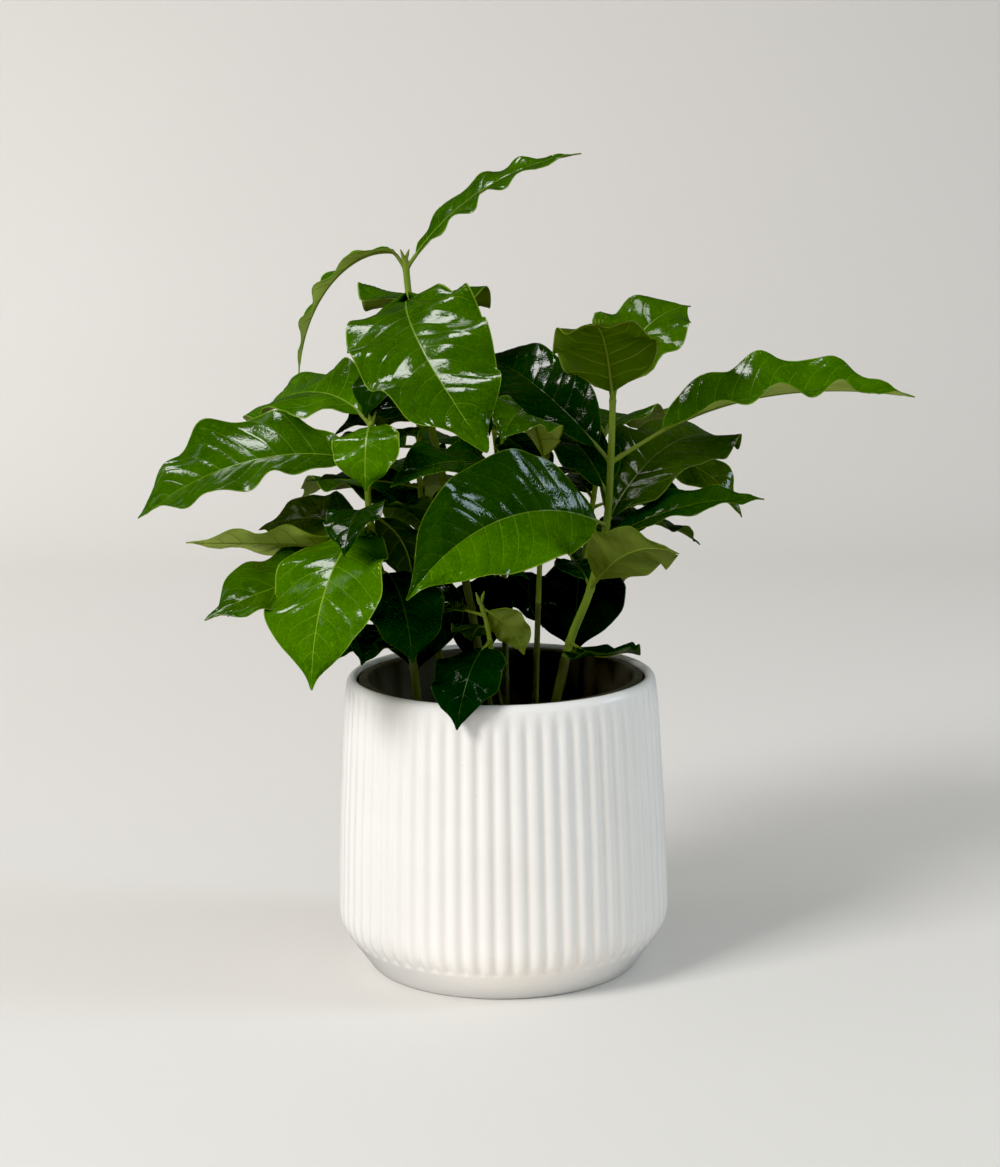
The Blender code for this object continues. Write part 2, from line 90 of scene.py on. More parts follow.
def select_edges(mesh, inside):
    """Selects the edges whose middle passes the test, and nothing else."""
    for part in (*mesh.vertices, *mesh.polygons):
        part.select = False
    for edge in mesh.edges:
        ends = [mesh.vertices[i] for i in edge.vertices]
        edge.select = inside((ends[0].co + ends[1].co) / 2)
        for end in ends:
            end.select = end.select or edge.select


bpy.ops.mesh.primitive_plane_add(size=SWEEP_WIDTH, location=(0, SWEEP_BACK - SWEEP_WIDTH / 2, 0))
sweep = bpy.context.object
sweep.name = "paper_sweep"
bpy.ops.object.transform_apply(location=True)
select_edges(sweep.data, lambda middle: middle.y > SWEEP_BACK - NEARLY)
bpy.ops.object.mode_set(mode="EDIT")
bpy.ops.mesh.select_mode(type="EDGE")
bpy.ops.mesh.extrude_region_move(TRANSFORM_OT_translate={"value": (0, 0, SWEEP_HEIGHT)})
bpy.ops.object.mode_set(mode="OBJECT")
select_edges(sweep.data, lambda middle: middle.y > SWEEP_BACK - NEARLY and middle.z < NEARLY)
bpy.ops.object.mode_set(mode="EDIT")
bpy.ops.mesh.bevel(offset=SWEEP_BEND, segments=SWEEP_BEND_STEPS, affect="EDGES")
bpy.ops.object.mode_set(mode="OBJECT")
bpy.ops.object.shade_smooth()
sweep.visible_glossy = False
print("sweep faces:", len(sweep.data.polygons))

# %% [markdown]
# ## The light
# The crown's shadow falls on the floor to the right and back, and it is soft at its edges. So the main
# light is a wide panel at the front left, about forty degrees up. The white glints on the level leaves
# mirror a second panel right overhead, and the bluish ones on the leaves at the right mirror a weaker,
# cooler one beside the plant. A lamp at the left lights the paper behind, and a small warm one that lies
# on the floor before the foot is the light that the paper throws up onto the chamfer. The leaves mirror
# little of the room itself, so the wide lamps give no reflection, and the world is dimmer for mirrored
# rays than for the others.

# %% Hang the soft lights
# Each lamp: its place, what it aims at, its size in metres, power in watts, spread and colour.
LIGHTS = {
    "front_window": ((-1.25, -1.05, 1.25), (0, 0, 0.17), 0.7, 31.5, 180, (1.0, 0.99, 0.975)),
    "cool_fill": ((1.55, -0.15, 0.75), (0, 0, 0.2), 0.5, 8.5, 180, (0.75, 0.9, 1.0)),
    "backdrop": ((-1.6, 0.6, 1.5), (-0.9, 1.3, 0.0), 1.4, 5.0, 90, (1.0, 0.97, 0.95)),
    "floor_bounce": ((0, -0.13, 0.002), (0, -0.13, 1), 0.13, 0.02, 180, (1.0, 0.83, 0.64)),
    "overhead_glints": ((-0.4, 0.05, 1.5), (0, 0, 0.17), 0.48, 10.5, 180, (1.0, 0.99, 0.975)),
    "cool_glints": ((1.4, 0.1, 0.75), (0, 0, 0.2), 0.36, 3.2, 180, (0.7, 0.87, 1.0)),
}
NOT_MIRRORED = ("front_window", "cool_fill", "floor_bounce")
ONLY_MIRRORED = ("overhead_glints", "cool_glints")
ROOM_COLOUR = (1.0, 0.985, 0.965, 1.0)
ROOM_LIGHT = 0.45
ROOM_MIRRORED = 0.04
BLACK_LEVEL = 0.005

for name, (place, aim, size, power, spread, colour) in LIGHTS.items():
    bpy.ops.object.light_add(type="AREA", location=place)
    lamp = bpy.context.object
    lamp.name = name
    lamp.rotation_euler = (Vector(aim) - Vector(place)).to_track_quat("-Z", "Y").to_euler()
    lamp.data.size = size
    lamp.data.energy = power
    lamp.data.spread = math.radians(spread)
    lamp.data.color = colour
    lamp.visible_camera = False
    lamp.visible_glossy = name not in NOT_MIRRORED
    lamp.visible_diffuse = name not in ONLY_MIRRORED

world = bpy.data.worlds.new("soft_room")
bpy.context.scene.world = world
world.use_nodes = True
room = world.node_tree.nodes["Background"]
room.inputs["Color"].default_value = ROOM_COLOUR
ray = world.node_tree.nodes.new("ShaderNodeLightPath")
strength = world.node_tree.nodes.new("ShaderNodeMapRange")
strength.inputs["To Min"].default_value = ROOM_LIGHT
strength.inputs["To Max"].default_value = ROOM_MIRRORED
world.node_tree.links.new(ray.outputs["Is Glossy Ray"], strength.inputs["Value"])
world.node_tree.links.new(strength.outputs["Result"], room.inputs["Strength"])
look = bpy.context.scene.view_settings
look.view_transform = "Standard"
look.use_curve_mapping = True
look.curve_mapping.black_level = (BLACK_LEVEL, BLACK_LEVEL, BLACK_LEVEL)
look.curve_mapping.update()

# %% [markdown]
# ## Small tools for materials
# A finish is a Principled shader with its colour, roughness and fine relief varied by noise. The noise
# reads Object coordinates, in metres, so a scale of 100 makes patches of about a centimetre. A number
# that is the same all over is set on the shader's own socket.

# %% A new material
def new_material(name, colour, roughness, coat=0.0, coat_roughness=0.1, gloss=0.5):
    material = bpy.data.materials.new(name)
    material.use_nodes = True
    shader = material.node_tree.nodes["Principled BSDF"]
    shader.inputs["Base Color"].default_value = (*colour, 1.0)
    shader.inputs["Roughness"].default_value = roughness
    shader.inputs["Specular IOR Level"].default_value = gloss
    shader.inputs["Coat Weight"].default_value = coat
    shader.inputs["Coat Roughness"].default_value = coat_roughness
    return material


# %% Patterns that a material can read
def place_socket(material, stretch=(1, 1, 1)):
    """Object coordinates, stretched by a Mapping node."""
    nodes, links = material.node_tree.nodes, material.node_tree.links
    coordinates = nodes.new("ShaderNodeTexCoord")
    mapping = nodes.new("ShaderNodeMapping")
    mapping.inputs["Scale"].default_value = stretch
    links.new(coordinates.outputs["Object"], mapping.inputs["Vector"])
    return mapping.outputs["Vector"]


def cloudy(material, scale, detail=3.0, stretch=(1, 1, 1)):
    """A soft noise from 0 to 1."""
    pattern = material.node_tree.nodes.new("ShaderNodeTexNoise")
    pattern.inputs["Scale"].default_value = scale
    pattern.inputs["Detail"].default_value = detail
    material.node_tree.links.new(place_socket(material, stretch), pattern.inputs["Vector"])
    return pattern.outputs["Fac"]


def cells(material, scale, feature="DISTANCE_TO_EDGE"):
    """Small cells, such as the finest net of a leaf's veins."""
    pattern = material.node_tree.nodes.new("ShaderNodeTexVoronoi")
    pattern.feature = feature
    pattern.inputs["Scale"].default_value = scale
    material.node_tree.links.new(place_socket(material), pattern.inputs["Vector"])
    return pattern.outputs["Distance"]


def ranged(material, value, low, high, start=0.3, end=0.7):
    """The value's stretch from start to end, spread over low to high."""
    node = material.node_tree.nodes.new("ShaderNodeMapRange")
    for socket, number in (("From Min", start), ("From Max", end), ("To Min", low), ("To Max", high)):
        node.inputs[socket].default_value = number
    material.node_tree.links.new(value, node.inputs["Value"])
    return node.outputs["Result"]


# %% Patterns put to use
def blend_colour(material, value, colour):
    """Mixes a second colour over the shader's present one where the value is high."""
    nodes, links = material.node_tree.nodes, material.node_tree.links
    target = nodes["Principled BSDF"].inputs["Base Color"]
    mix = nodes.new("ShaderNodeMix")
    mix.data_type = "RGBA"
    links.new(value, mix.inputs["Factor"])
    if target.is_linked:
        links.new(target.links[0].from_socket, mix.inputs["A"])
    else:
        mix.inputs["A"].default_value = target.default_value
    mix.inputs["B"].default_value = (*colour, 1.0)
    links.new(mix.outputs["Result"], target)


def mottle(material, scale, colour, detail=3.0, stretch=(1, 1, 1)):
    """Soft clouds of a second colour."""
    blend_colour(material, ranged(material, cloudy(material, scale, detail, stretch), 0, 1), colour)


def vary_roughness(material, value):
    shader = material.node_tree.nodes["Principled BSDF"]
    material.node_tree.links.new(value, shader.inputs["Roughness"])


def raise_relief(material, value, strength, depth):
    """Adds a bump, in metres of depth, over any bump that is already there."""
    nodes, links = material.node_tree.nodes, material.node_tree.links
    target = nodes["Principled BSDF"].inputs["Normal"]
    bump = nodes.new("ShaderNodeBump")
    bump.inputs["Strength"].default_value = strength
    bump.inputs["Distance"].default_value = depth
    links.new(value, bump.inputs["Height"])
    if target.is_linked:
        links.new(target.links[0].from_socket, bump.inputs["Normal"])
    links.new(bump.outputs["Normal"], target)


# %% Finish the paper
paper = new_material("pale_paper", (0.75, 0.725, 0.70), 0.85, gloss=0.2)
mottle(paper, 1.2, (0.72, 0.71, 0.68))
raise_relief(paper, cloudy(paper, 900), 0.1, 0.0002)
sweep.data.materials.append(paper)
print("paper nodes:", len(paper.node_tree.nodes))

# %% [markdown]
# ## The planter
# The planter is a slip-cast pot with 64 soft ribs. It leans in slightly from its belly to its shoulder,
# and it stands on a plain chamfered foot. By hand one would extrude a circle upwards ring by ring, over
# the lip and down inside, and that is what this does. The ribs are then pressed in: a column's angle
# says how far its points go in, and the depth fades out at the shoulder and at the chamfer.

# %% Measures of the planter
FOOT_RADIUS = 57.0
POT_WALL = 4.7
POT_FLOOR = 6.0
FLUTES = 64
FLUTE_DEPTH = 1.1
GROOVE_POWER = 1.35
FLUTE_FOOT = (12.2, 14.6)
FLUTE_TOP = (120.5, 113.0)
COLUMNS_PER_FLUTE = 8
WALL_HEIGHTS = (26.0, 66.0, 110.0, 118.5)
WALL_RADII = (70.0, 68.6, 66.1, 65.2)
HIP_START, HIP_PULL, HIP_END = (66.0, 13.3), (70.3, 18.0), (70.0, 26.0)
LIP = [(64.95, 120.2), (64.55, 121.5), (63.9, 122.6), (63.0, 123.3), (62.2, 123.6), (61.5, 123.45),
       (60.95, 122.95), (60.65, 122.1), (60.6, 121.0)]


# %% The planter's profile
def hip_curve(steps):
    """The rounded turn from the chamfer into the wall, as a quadratic curve."""
    places = []
    for t in np.linspace(0, 1, steps):
        places.append(tuple(
            (1 - t) ** 2 * a + 2 * t * (1 - t) * b + t * t * c
            for a, b, c in zip(HIP_START, HIP_PULL, HIP_END)
        ))
    return places


def planter_profile():
    """Radius and height of each ring, from the foot up the wall, over the lip and down inside."""
    wall = [(np.interp(height, WALL_HEIGHTS, WALL_RADII), height) for height in np.arange(29, 119, 3.0)]
    inside = [(np.interp(height, WALL_HEIGHTS, WALL_RADII) - POT_WALL, height) for height in (110, 66, 26)]
    return [
        (FOOT_RADIUS - 0.9, 0.0),
        (FOOT_RADIUS - 0.2, 0.35),
        (FOOT_RADIUS + 0.5, 1.1),
        *[(FOOT_RADIUS + 0.5 + 8.2 * share, 1.1 + 11.6 * share) for share in (0.25, 0.5, 0.75, 0.9, 0.96)],
        *hip_curve(14),
        *wall,
        *LIP,
        *inside,
        (61.5, 16.0),
        (52.0, POT_FLOOR),
    ]


# %% Turn a body ring by ring
def turned_by_rings(name, profile, columns):
    """Extrudes a circle ring by ring along a profile in millimetres, and closes both ends."""
    bpy.ops.object.select_all(action="DESELECT")
    radius, height = profile[0]
    only_edges = {"use_normal_flip": False, "mirror": False}
    bpy.ops.mesh.primitive_circle_add(vertices=columns, radius=radius * MM, location=(0, 0, height * MM))
    piece = bpy.context.object
    piece.name = name
    bpy.ops.object.transform_apply(location=True)
    bpy.ops.object.mode_set(mode="EDIT")
    bpy.ops.mesh.select_all(action="SELECT")
    bpy.ops.mesh.edge_face_add()
    bpy.ops.mesh.select_all(action="DESELECT")
    bpy.ops.mesh.select_mode(type="EDGE")
    bpy.ops.mesh.select_all(action="SELECT")
    for (before, low), (after, high) in zip(profile, profile[1:]):
        bpy.ops.mesh.extrude_edges_move(
            MESH_OT_extrude_edges_indiv=only_edges,
            TRANSFORM_OT_translate={"value": (0, 0, (high - low) * MM)},
        )
        scale = after / before
        bpy.ops.transform.resize(value=(scale, scale, 1), center_override=(0, 0, 0))
    bpy.ops.mesh.edge_face_add()
    bpy.ops.mesh.select_all(action="SELECT")
    bpy.ops.mesh.normals_make_consistent(inside=False)
    bpy.ops.object.mode_set(mode="OBJECT")
    print(f"{name}: {len(piece.data.polygons)} faces")
    return piece


def smooth_step(value, start, end):
    share = np.clip((value - start) / (end - start), 0, 1)
    return share * share * (3 - 2 * share)


# %% Make the planter
def press_flutes(piece):
    """Presses the grooves between the ribs into the outside of the wall."""
    count = len(piece.data.vertices)
    places = np.empty(count * 3)
    piece.data.vertices.foreach_get("co", places)
    places = places.reshape(-1, 3)
    radius = np.hypot(places[:, 0], places[:, 1]) / MM
    height = places[:, 2] / MM
    wall = np.interp(height, WALL_HEIGHTS, WALL_RADII)
    outside = (radius > wall - POT_WALL / 2) | (height < WALL_HEIGHTS[0]) & (radius > FOOT_RADIUS + 5)
    angle = np.arctan2(places[:, 1], places[:, 0])
    groove = (0.5 - 0.5 * np.cos(FLUTES * angle)) ** GROOVE_POWER
    depth = smooth_step(height, *FLUTE_FOOT) * smooth_step(height, *FLUTE_TOP)
    pressed = np.where(outside, FLUTE_DEPTH * depth * groove, 0)
    share = 1 - pressed / np.maximum(radius, 1)
    places[:, :2] *= share[:, None]
    piece.data.vertices.foreach_set("co", places.ravel())
    piece.data.update()


planter = turned_by_rings("fluted_planter", planter_profile(), FLUTES * COLUMNS_PER_FLUTE)
press_flutes(planter)
bpy.ops.object.shade_smooth_by_angle(angle=math.radians(40))

# %% [markdown]
# The glaze is a satin white: glossy enough for soft reflections, but no mirror. A real one pools a little,
# has a pinhole here and there and is never quite even, so one noise tints it, small cells give the few
# dark pinholes, a second noise varies the roughness and a third gives a very shallow relief.

# %% Glaze the planter
glaze = new_material("white_glaze", (0.83, 0.822, 0.805), 0.36, coat=0.25, coat_roughness=0.22)
mottle(glaze, 30, (0.80, 0.79, 0.77))
blend_colour(glaze, ranged(glaze, cells(glaze, 95, "F1"), 0.5, 0, 0.02, 0.05), (0.62, 0.61, 0.58))
vary_roughness(glaze, ranged(glaze, cloudy(glaze, 140), 0.30, 0.42))
raise_relief(glaze, cloudy(glaze, 260, 2), 0.12, 0.0004)
planter.data.materials.append(glaze)
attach(planter, "root")
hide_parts("pot")

# %% [markdown]
# ## The nursery pot
# The seedlings came in a thin black pot with a turned-down lip. Only its lip and the inside above the
# soil show. It is made by the same rings as the planter: up the outside, out over the lip, and down the
# inside. Its plastic is dull and dusty, which hides how smooth the moulded wall is.

# %% Make the nursery pot
LINER_FOOT = (45.0, 6.3)
LINER_TOP = (56.6, 122.4)
LINER_LIP_RADIUS = 59.6
LINER_LIP_DROP = 7.0
LINER_WALL = 1.2


def liner_radius(height):
    share = (height - LINER_FOOT[1]) / (LINER_TOP[1] - LINER_FOOT[1])
    return LINER_FOOT[0] + share * (LINER_TOP[0] - LINER_FOOT[0])


liner_top = LINER_TOP[1]
liner_profile = [
    (LINER_FOOT[0] - 0.8, LINER_FOOT[1]),
    (LINER_FOOT[0], LINER_FOOT[1] + 0.8),
    (liner_radius(60), 60.0),
    (LINER_TOP[0] - 0.2, liner_top - LINER_WALL),
    (LINER_LIP_RADIUS - LINER_WALL, liner_top - LINER_WALL),
    (LINER_LIP_RADIUS - LINER_WALL, liner_top - LINER_LIP_DROP),
    (LINER_LIP_RADIUS, liner_top - LINER_LIP_DROP),
    (LINER_LIP_RADIUS, liner_top - 0.8),
    (LINER_LIP_RADIUS - 0.3, liner_top - 0.2),
    (LINER_LIP_RADIUS - 0.9, liner_top),
    (LINER_TOP[0] - LINER_WALL + 0.6, liner_top),
    (LINER_TOP[0] - LINER_WALL, liner_top - 0.6),
    *[(liner_radius(height) - LINER_WALL, height) for height in (117, 110, 104, 98, 90, 50)],
    (LINER_FOOT[0] - LINER_WALL, LINER_FOOT[1] + LINER_WALL),
]
nursery_pot = turned_by_rings("black_nursery_pot", liner_profile, 144)
bpy.ops.object.shade_smooth_by_angle(angle=math.radians(30))

# %% Finish the nursery pot
plastic = new_material("black_plastic", (0.085, 0.078, 0.055), 0.55, gloss=0.2)
mottle(plastic, 60, (0.060, 0.055, 0.040))
blend_colour(plastic, ranged(plastic, cloudy(plastic, 240, 6), 0, 0.5, 0.6, 0.75), (0.09, 0.07, 0.05))
vary_roughness(plastic, ranged(plastic, cloudy(plastic, 90), 0.48, 0.7))
raise_relief(plastic, cloudy(plastic, 1100, 2), 0.2, 0.0002)
nursery_pot.data.materials.append(plastic)
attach(nursery_pot, "root")
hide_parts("nursery_pot")

# %% [markdown]
# ## The soil
# Potting soil is peat with crumbs, bark and white perlite. The body is turned by rings like the pots,
# with many rings over its top, and the top is then pushed up and down by noise. The crumbs are copies of
# one small ball, each squashed, turned and placed by seeded dice, and joined in one mesh.

# %% Make the soil
SOIL_TOP = 98.0
SOIL_CLEARANCE = 0.5
SOIL_COLUMNS = 150
SOIL_LUMPS = ((55, 1.3), (150, 0.8), (420, 0.35))


def soil_height(x, y):
    """The soil's surface at a place in millimetres; it sinks a little towards the wall."""
    place = Vector((x * MM, y * MM, 0.37))
    lumps = sum(depth * noise.noise(place * scale) for scale, depth in SOIL_LUMPS)
    return SOIL_TOP - 0.9 + lumps - 1.2 * smooth_step(math.hypot(x, y), 38, 53)


soil_edge = liner_radius(SOIL_TOP) - LINER_WALL - SOIL_CLEARANCE
soil_profile = [
    (liner_radius(10) - LINER_WALL - SOIL_CLEARANCE, 10.0),
    (liner_radius(60) - LINER_WALL - SOIL_CLEARANCE, 60.0),
    (soil_edge - 0.2, SOIL_TOP - 3),
    *[(soil_edge * (1 - ring / 38), SOIL_TOP) for ring in range(1, 38)],
]
soil = turned_by_rings("soil_body", soil_profile, SOIL_COLUMNS)
for vertex in soil.data.vertices:
    if vertex.co.z > (SOIL_TOP - 4) * MM:
        vertex.co.z = soil_height(vertex.co.x / MM, vertex.co.y / MM) * MM
bpy.ops.object.shade_smooth_by_angle(angle=math.radians(60))

# %% Finish the soil
peat = new_material("dark_peat", (0.028, 0.018, 0.011), 0.95)
blend_colour(peat, ranged(peat, cloudy(peat, 220, 6), 0, 1, 0.4, 0.7), (0.065, 0.042, 0.025))
blend_colour(peat, ranged(peat, cells(peat, 260, "F1"), 0.8, 0, 0.05, 0.2), (0.012, 0.008, 0.006))
raise_relief(peat, cloudy(peat, 500, 8), 0.8, 0.0012)
soil.data.materials.append(peat)
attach(soil, "root")
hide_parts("soil")


# %% Scatter crumbs, bark and perlite
def joined_mesh(name, points, faces, materials, slots=None):
    """One object from lists of points in millimetres and of faces, with a material slot for each face."""
    mesh = bpy.data.meshes.new(name)
    mesh.from_pydata((np.asarray(points) * MM).tolist(), [], faces)
    for material in materials:
        mesh.materials.append(material)
    if slots is not None:
        mesh.polygons.foreach_set("material_index", np.asarray(slots, np.int32))
    mesh.update()
    piece = bpy.data.objects.new(name, mesh)
    bpy.context.scene.collection.objects.link(piece)
    print(f"{name}: {len(mesh.polygons)} faces")
    return piece


def ball_net(detail):
    """The corners and faces of a small ball of radius 1."""
    bpy.ops.object.select_all(action="DESELECT")
    bpy.ops.mesh.primitive_ico_sphere_add(subdivisions=detail, radius=1)
    ball = bpy.context.object
    corners = np.array([vertex.co[:] for vertex in ball.data.vertices])
    faces = [list(polygon.vertices) for polygon in ball.data.polygons]
    bpy.data.objects.remove(ball, do_unlink=True)
    return corners, faces


def scatter(name, count, sizes, flatness, detail, material, dice):
    """Copies of a squashed ball that lie half sunk in the soil."""
    corners, net = ball_net(detail)
    points, faces = [], []
    for number in range(count):
        reach = (soil_edge - 3) * math.sqrt(dice.uniform())
        turn = dice.uniform(0, 2 * math.pi)
        x, y = reach * math.cos(turn), reach * math.sin(turn)
        size = dice.uniform(*sizes)
        lumpy = corners * (1 + dice.uniform(-0.22, 0.22, (len(corners), 1)))
        squashed = lumpy * size * np.array([1, dice.uniform(0.5, 1), flatness])
        turned = squashed @ np.array(Euler(dice.uniform(-0.6, 0.6, 3)).to_matrix())
        turned = turned @ np.array(Matrix.Rotation(dice.uniform(0, 6.3), 3, "Z"))
        first = len(points) * len(corners)
        points.append(turned + [x, y, soil_height(x, y) + 0.2 * size])
        faces += [[first + corner for corner in face] for face in net]
    piece = joined_mesh(name, np.concatenate(points), faces, [material])
    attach(piece, "root")
    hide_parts("soil")
    return piece


perlite = new_material("white_perlite", (0.55, 0.53, 0.48), 0.9)
mottle(perlite, 700, (0.36, 0.33, 0.28))
raise_relief(perlite, cloudy(perlite, 1600), 0.6, 0.0004)
bark_chip = new_material("bark_chip", (0.07, 0.036, 0.018), 0.85)
mottle(bark_chip, 500, (0.022, 0.012, 0.008), 6)
raise_relief(bark_chip, cloudy(bark_chip, 900, 6), 0.7, 0.0006)
soil_dice = np.random.default_rng(11)
scatter("soil_crumbs", 900, (0.5, 1.9), 0.8, 1, peat, soil_dice)
scatter("bark_chips", 90, (1.6, 4.2), 0.35, 2, bark_chip, soil_dice)
scatter("perlite_grains", 80, (0.6, 1.7), 0.85, 2, perlite, soil_dice)

# %% [markdown]
# ## How the seedlings grow
# A coffee seedling is one upright stem with pairs of opposite leaves. These rules place every leaf, and
# they are the rules that the solids were made by: each leaf starts at a node on its stem, rises, bends
# over and turns, and it is as wide as a smooth outline says. Leaves that show in the photograph have
# their own numbers. The others grow in pairs by seeded dice, and one that would touch another is left
# out. A few small leaves close the gaps inside the crown, where the photograph shows dark green, no sky.

# %% The shape of a leaf and of a seedling
@dataclass
class Leaf:
    """One leaf: the height of its node on the stem, and how its blade leaves, bends and turns.

    A smaller value of tip makes the blade's outer half fuller, and lobe draws its base back past the stalk.
    """

    at: float
    heading: float
    rise: float
    length: float
    width: float
    droop: float = 30.0
    late: float = 1.0
    swing: float = 0.0
    roll: float = 0.0
    twist: float = 0.0
    fold: float = 12.0
    camber: float = 0.12
    stalk: float = 8.0
    wave: float = 0.14
    waves: float = 3.0
    phase: float = 0.0
    widest: float = 0.42
    tip: float = 1.25
    lobe: float = 0.0


@dataclass
class Pair:
    """Two opposite leaves that the rule grows at one node; second is the inner one's share of the size."""

    at: float
    heading: float
    length: float
    width: float
    rise: float = 18.0
    droop: float = 60.0
    second: float = 0.55


@dataclass
class Seedling:
    """A stem through a few places, from the soil to its tip, with its leaves and their tones."""

    radius: float
    bare: float
    places: list
    leaves: list = field(default_factory=list)
    pairs: list = field(default_factory=list)
    tones: str = ""


# %% The eight seedlings, in millimetres and degrees
SEEDLINGS = {
    "tall": Seedling(
        radius=1.9,
        bare=188,
        places=[(-4, 8), (-14, 6, 160), (-30, 2, 240), (-35, 0, 275), (-37, 0, 296)],
        leaves=[
            Leaf(292, 182, 56, 72, 18, droop=142, late=0.35, roll=2, fold=24, stalk=6.5, wave=0.2, waves=4.5),
            Leaf(292, 10, 53, 82, 22, droop=47, roll=14, fold=14, stalk=7, wave=0.16, waves=4.5),
            Leaf(275, -97, 43, 116, 55, droop=90, late=0.28, swing=57, roll=20, stalk=3,
                 wave=0.14, waves=4.2, widest=0.4, tip=0.75, lobe=9),
            Leaf(275, 84, 14, 84, 56, droop=60, fold=6, camber=0.05, stalk=6, wave=0.16),
            Leaf(204, -66, -10, 50, 32, droop=70),
            Leaf(228, -150, -12, 26, 20, droop=40, stalk=5),
        ],
        pairs=[
            Pair(243, 92, 46, 30, second=0),
            Pair(206, 75, 48, 30, second=0),
            Pair(227, 118, 44, 26, second=0),
        ],
        tones="young green green green dark dark",
    ),
    "left": Seedling(
        radius=1.75,
        bare=136,
        places=[
            (-33, -22),
            (-37, -24, 140),
            (-46, -25, 162),
            (-52, -24, 190),
            (-53, -20, 214),
            (-51, -18, 232),
        ],
        leaves=[
            Leaf(230, 134, 34, 82, 45, droop=74, late=0.7, roll=-22),
            Leaf(230, -94, 0, 34, 28, droop=112, fold=8, roll=10, stalk=5),
            Leaf(214, 186, 20, 93, 50, droop=58, late=0.7, roll=-29, fold=22, stalk=6, waves=3.5, widest=0.5),
            Leaf(214, 118, 16, 44, 28, droop=40, roll=-20),
            Leaf(190, -115, -8, 83, 48, droop=79, swing=8, roll=4, fold=8, stalk=4, widest=0.5),
            Leaf(181, 186, 5, 68, 24, droop=4, roll=32),
            Leaf(186, 156, 18, 46, 32, droop=44, roll=-28),
            Leaf(172, 205, 2, 71, 44, droop=28, roll=-20, stalk=6),
            Leaf(172, -66, -2, 44, 34, droop=80, late=0.6),
            Leaf(146, 200, 5, 26, 16, droop=60, roll=-20),
            Leaf(146, -120, 10, 28, 22, droop=60),
            Leaf(196, 50, 4, 40, 30, droop=70, roll=-10, stalk=6),
        ],
        tones="young young green dark young young olive green dark dark dark dark",
    ),
    "right": Seedling(
        radius=1.9,
        bare=133,
        places=[(19, -16), (28, -15, 137), (37, -13, 160), (44, -11, 187), (46, -10, 213), (47, -10, 240)],
        leaves=[
            Leaf(238, -100, 57, 66, 41, droop=57, roll=4, fold=4, stalk=5),
            Leaf(238, 36, 74, 54, 42, droop=74, roll=18, stalk=6, widest=0.46),
            Leaf(213, 20, 27, 114, 44, droop=38, late=0.7, swing=-12, roll=10, twist=12, fold=32, stalk=26,
                 wave=0.16, waves=4, phase=0.4, widest=0.42),
            Leaf(213, 134, 38, 94, 36, droop=36, swing=-20, roll=-28, fold=20, stalk=10),
            Leaf(187, -138, 23, 110, 52, droop=69, roll=-56, fold=22, stalk=6, wave=0.12),
            Leaf(187, 46, 50, 104, 46, droop=78, swing=12, roll=12, fold=10, stalk=4, widest=0.5),
            Leaf(198, 114, 42, 56, 30, droop=40, stalk=6),
            Leaf(180, 4, 29, 64, 22, droop=34, roll=20, fold=20, stalk=6),
            Leaf(161, -63, 39, 68, 30, droop=45, roll=-35, stalk=8),
            Leaf(161, 100, 18, 36, 20, droop=30),
            Leaf(139, -65, -6, 46, 30, droop=-34),
        ],
        # The fifth leaf's halves are painted light and shade: the deep tone on the half that faces up and
        # back is painted shade, the young tone on the other half is painted light.
        tones="olive fresh young dark deep/young shaded dark deep deep dark night",
    ),
    "middle": Seedling(
        radius=1.35,
        bare=152,
        places=[(14, 4), (16, 5, 150), (18, 5, 190), (20, 5, 213)],
        leaves=[
            Leaf(207, -110, 70, 62, 30, droop=118, roll=-28),
            Leaf(192, -144, 44, 74, 38, droop=75, roll=-14, stalk=10),
            Leaf(178, 10, 14, 42, 24, droop=40, stalk=6),
        ],
        tones="young deep dark",
    ),
    "front": Seedling(
        radius=1.25,
        bare=130,
        places=[(2, -16), (-2, -26, 125), (-5, -31, 148), (-8, -33, 160)],
        leaves=[
            Leaf(143, -108, -10, 45, 30, droop=54, roll=4),
            Leaf(157, 12, -30, 24, 16, droop=45, roll=-55, stalk=3),
            Leaf(154, 160, 12, 27, 22, droop=80),
            Leaf(149, 104, -6, 27, 22, droop=36, stalk=5),
        ],
        tones="night green dark dark",
    ),
    "back_left": Seedling(
        radius=1.5,
        bare=144,
        places=[(-22, 26), (-30, 34, 150), (-34, 40, 200), (-34, 44, 224)],
        leaves=[
            Leaf(160, -98, -4, 48, 40, droop=80, late=0.6),
        ],
        pairs=[
            Pair(222, 155, 66, 36),
            Pair(200, 112, 80, 40, second=0),
            Pair(182, 130, 84, 42),
            Pair(162, 175, 80, 40),
            Pair(212, 60, 50, 28, second=0),
            Pair(148, 120, 60, 34, second=0),
        ],
        tones="dark",
    ),
    "back_right": Seedling(
        radius=1.5,
        bare=152,
        places=[(24, 28), (34, 40, 150), (42, 48, 195), (46, 52, 218)],
        leaves=[
            Leaf(204, 0, 16, 66, 30, droop=84, roll=30),
            Leaf(186, 4, 20, 36, 22, droop=40, roll=30),
            Leaf(163, -98, -2, 46, 42, droop=78, late=0.6),
        ],
        pairs=[
            Pair(216, 60, 62, 36, second=0),
            Pair(190, 100, 78, 42, second=0),
            Pair(160, 82, 64, 38, second=0),
            Pair(172, 34, 56, 32, second=0),
        ],
        tones="olive green night",
    ),
    "back": Seedling(
        radius=1.5,
        bare=152,
        places=[(2, 36), (2, 48, 150), (0, 56, 200), (-2, 60, 222)],
        leaves=[
            Leaf(158, -112, -4, 48, 30, droop=78, late=0.6),
        ],
        pairs=[
            Pair(220, 80, 74, 38, second=0),
            Pair(194, 118, 60, 34, second=0),
            Pair(162, 90, 84, 42, second=0),
            Pair(207, 12, 44, 26, second=0),
            Pair(180, 96, 60, 34, second=0),
        ],
        tones="night",
    ),
}
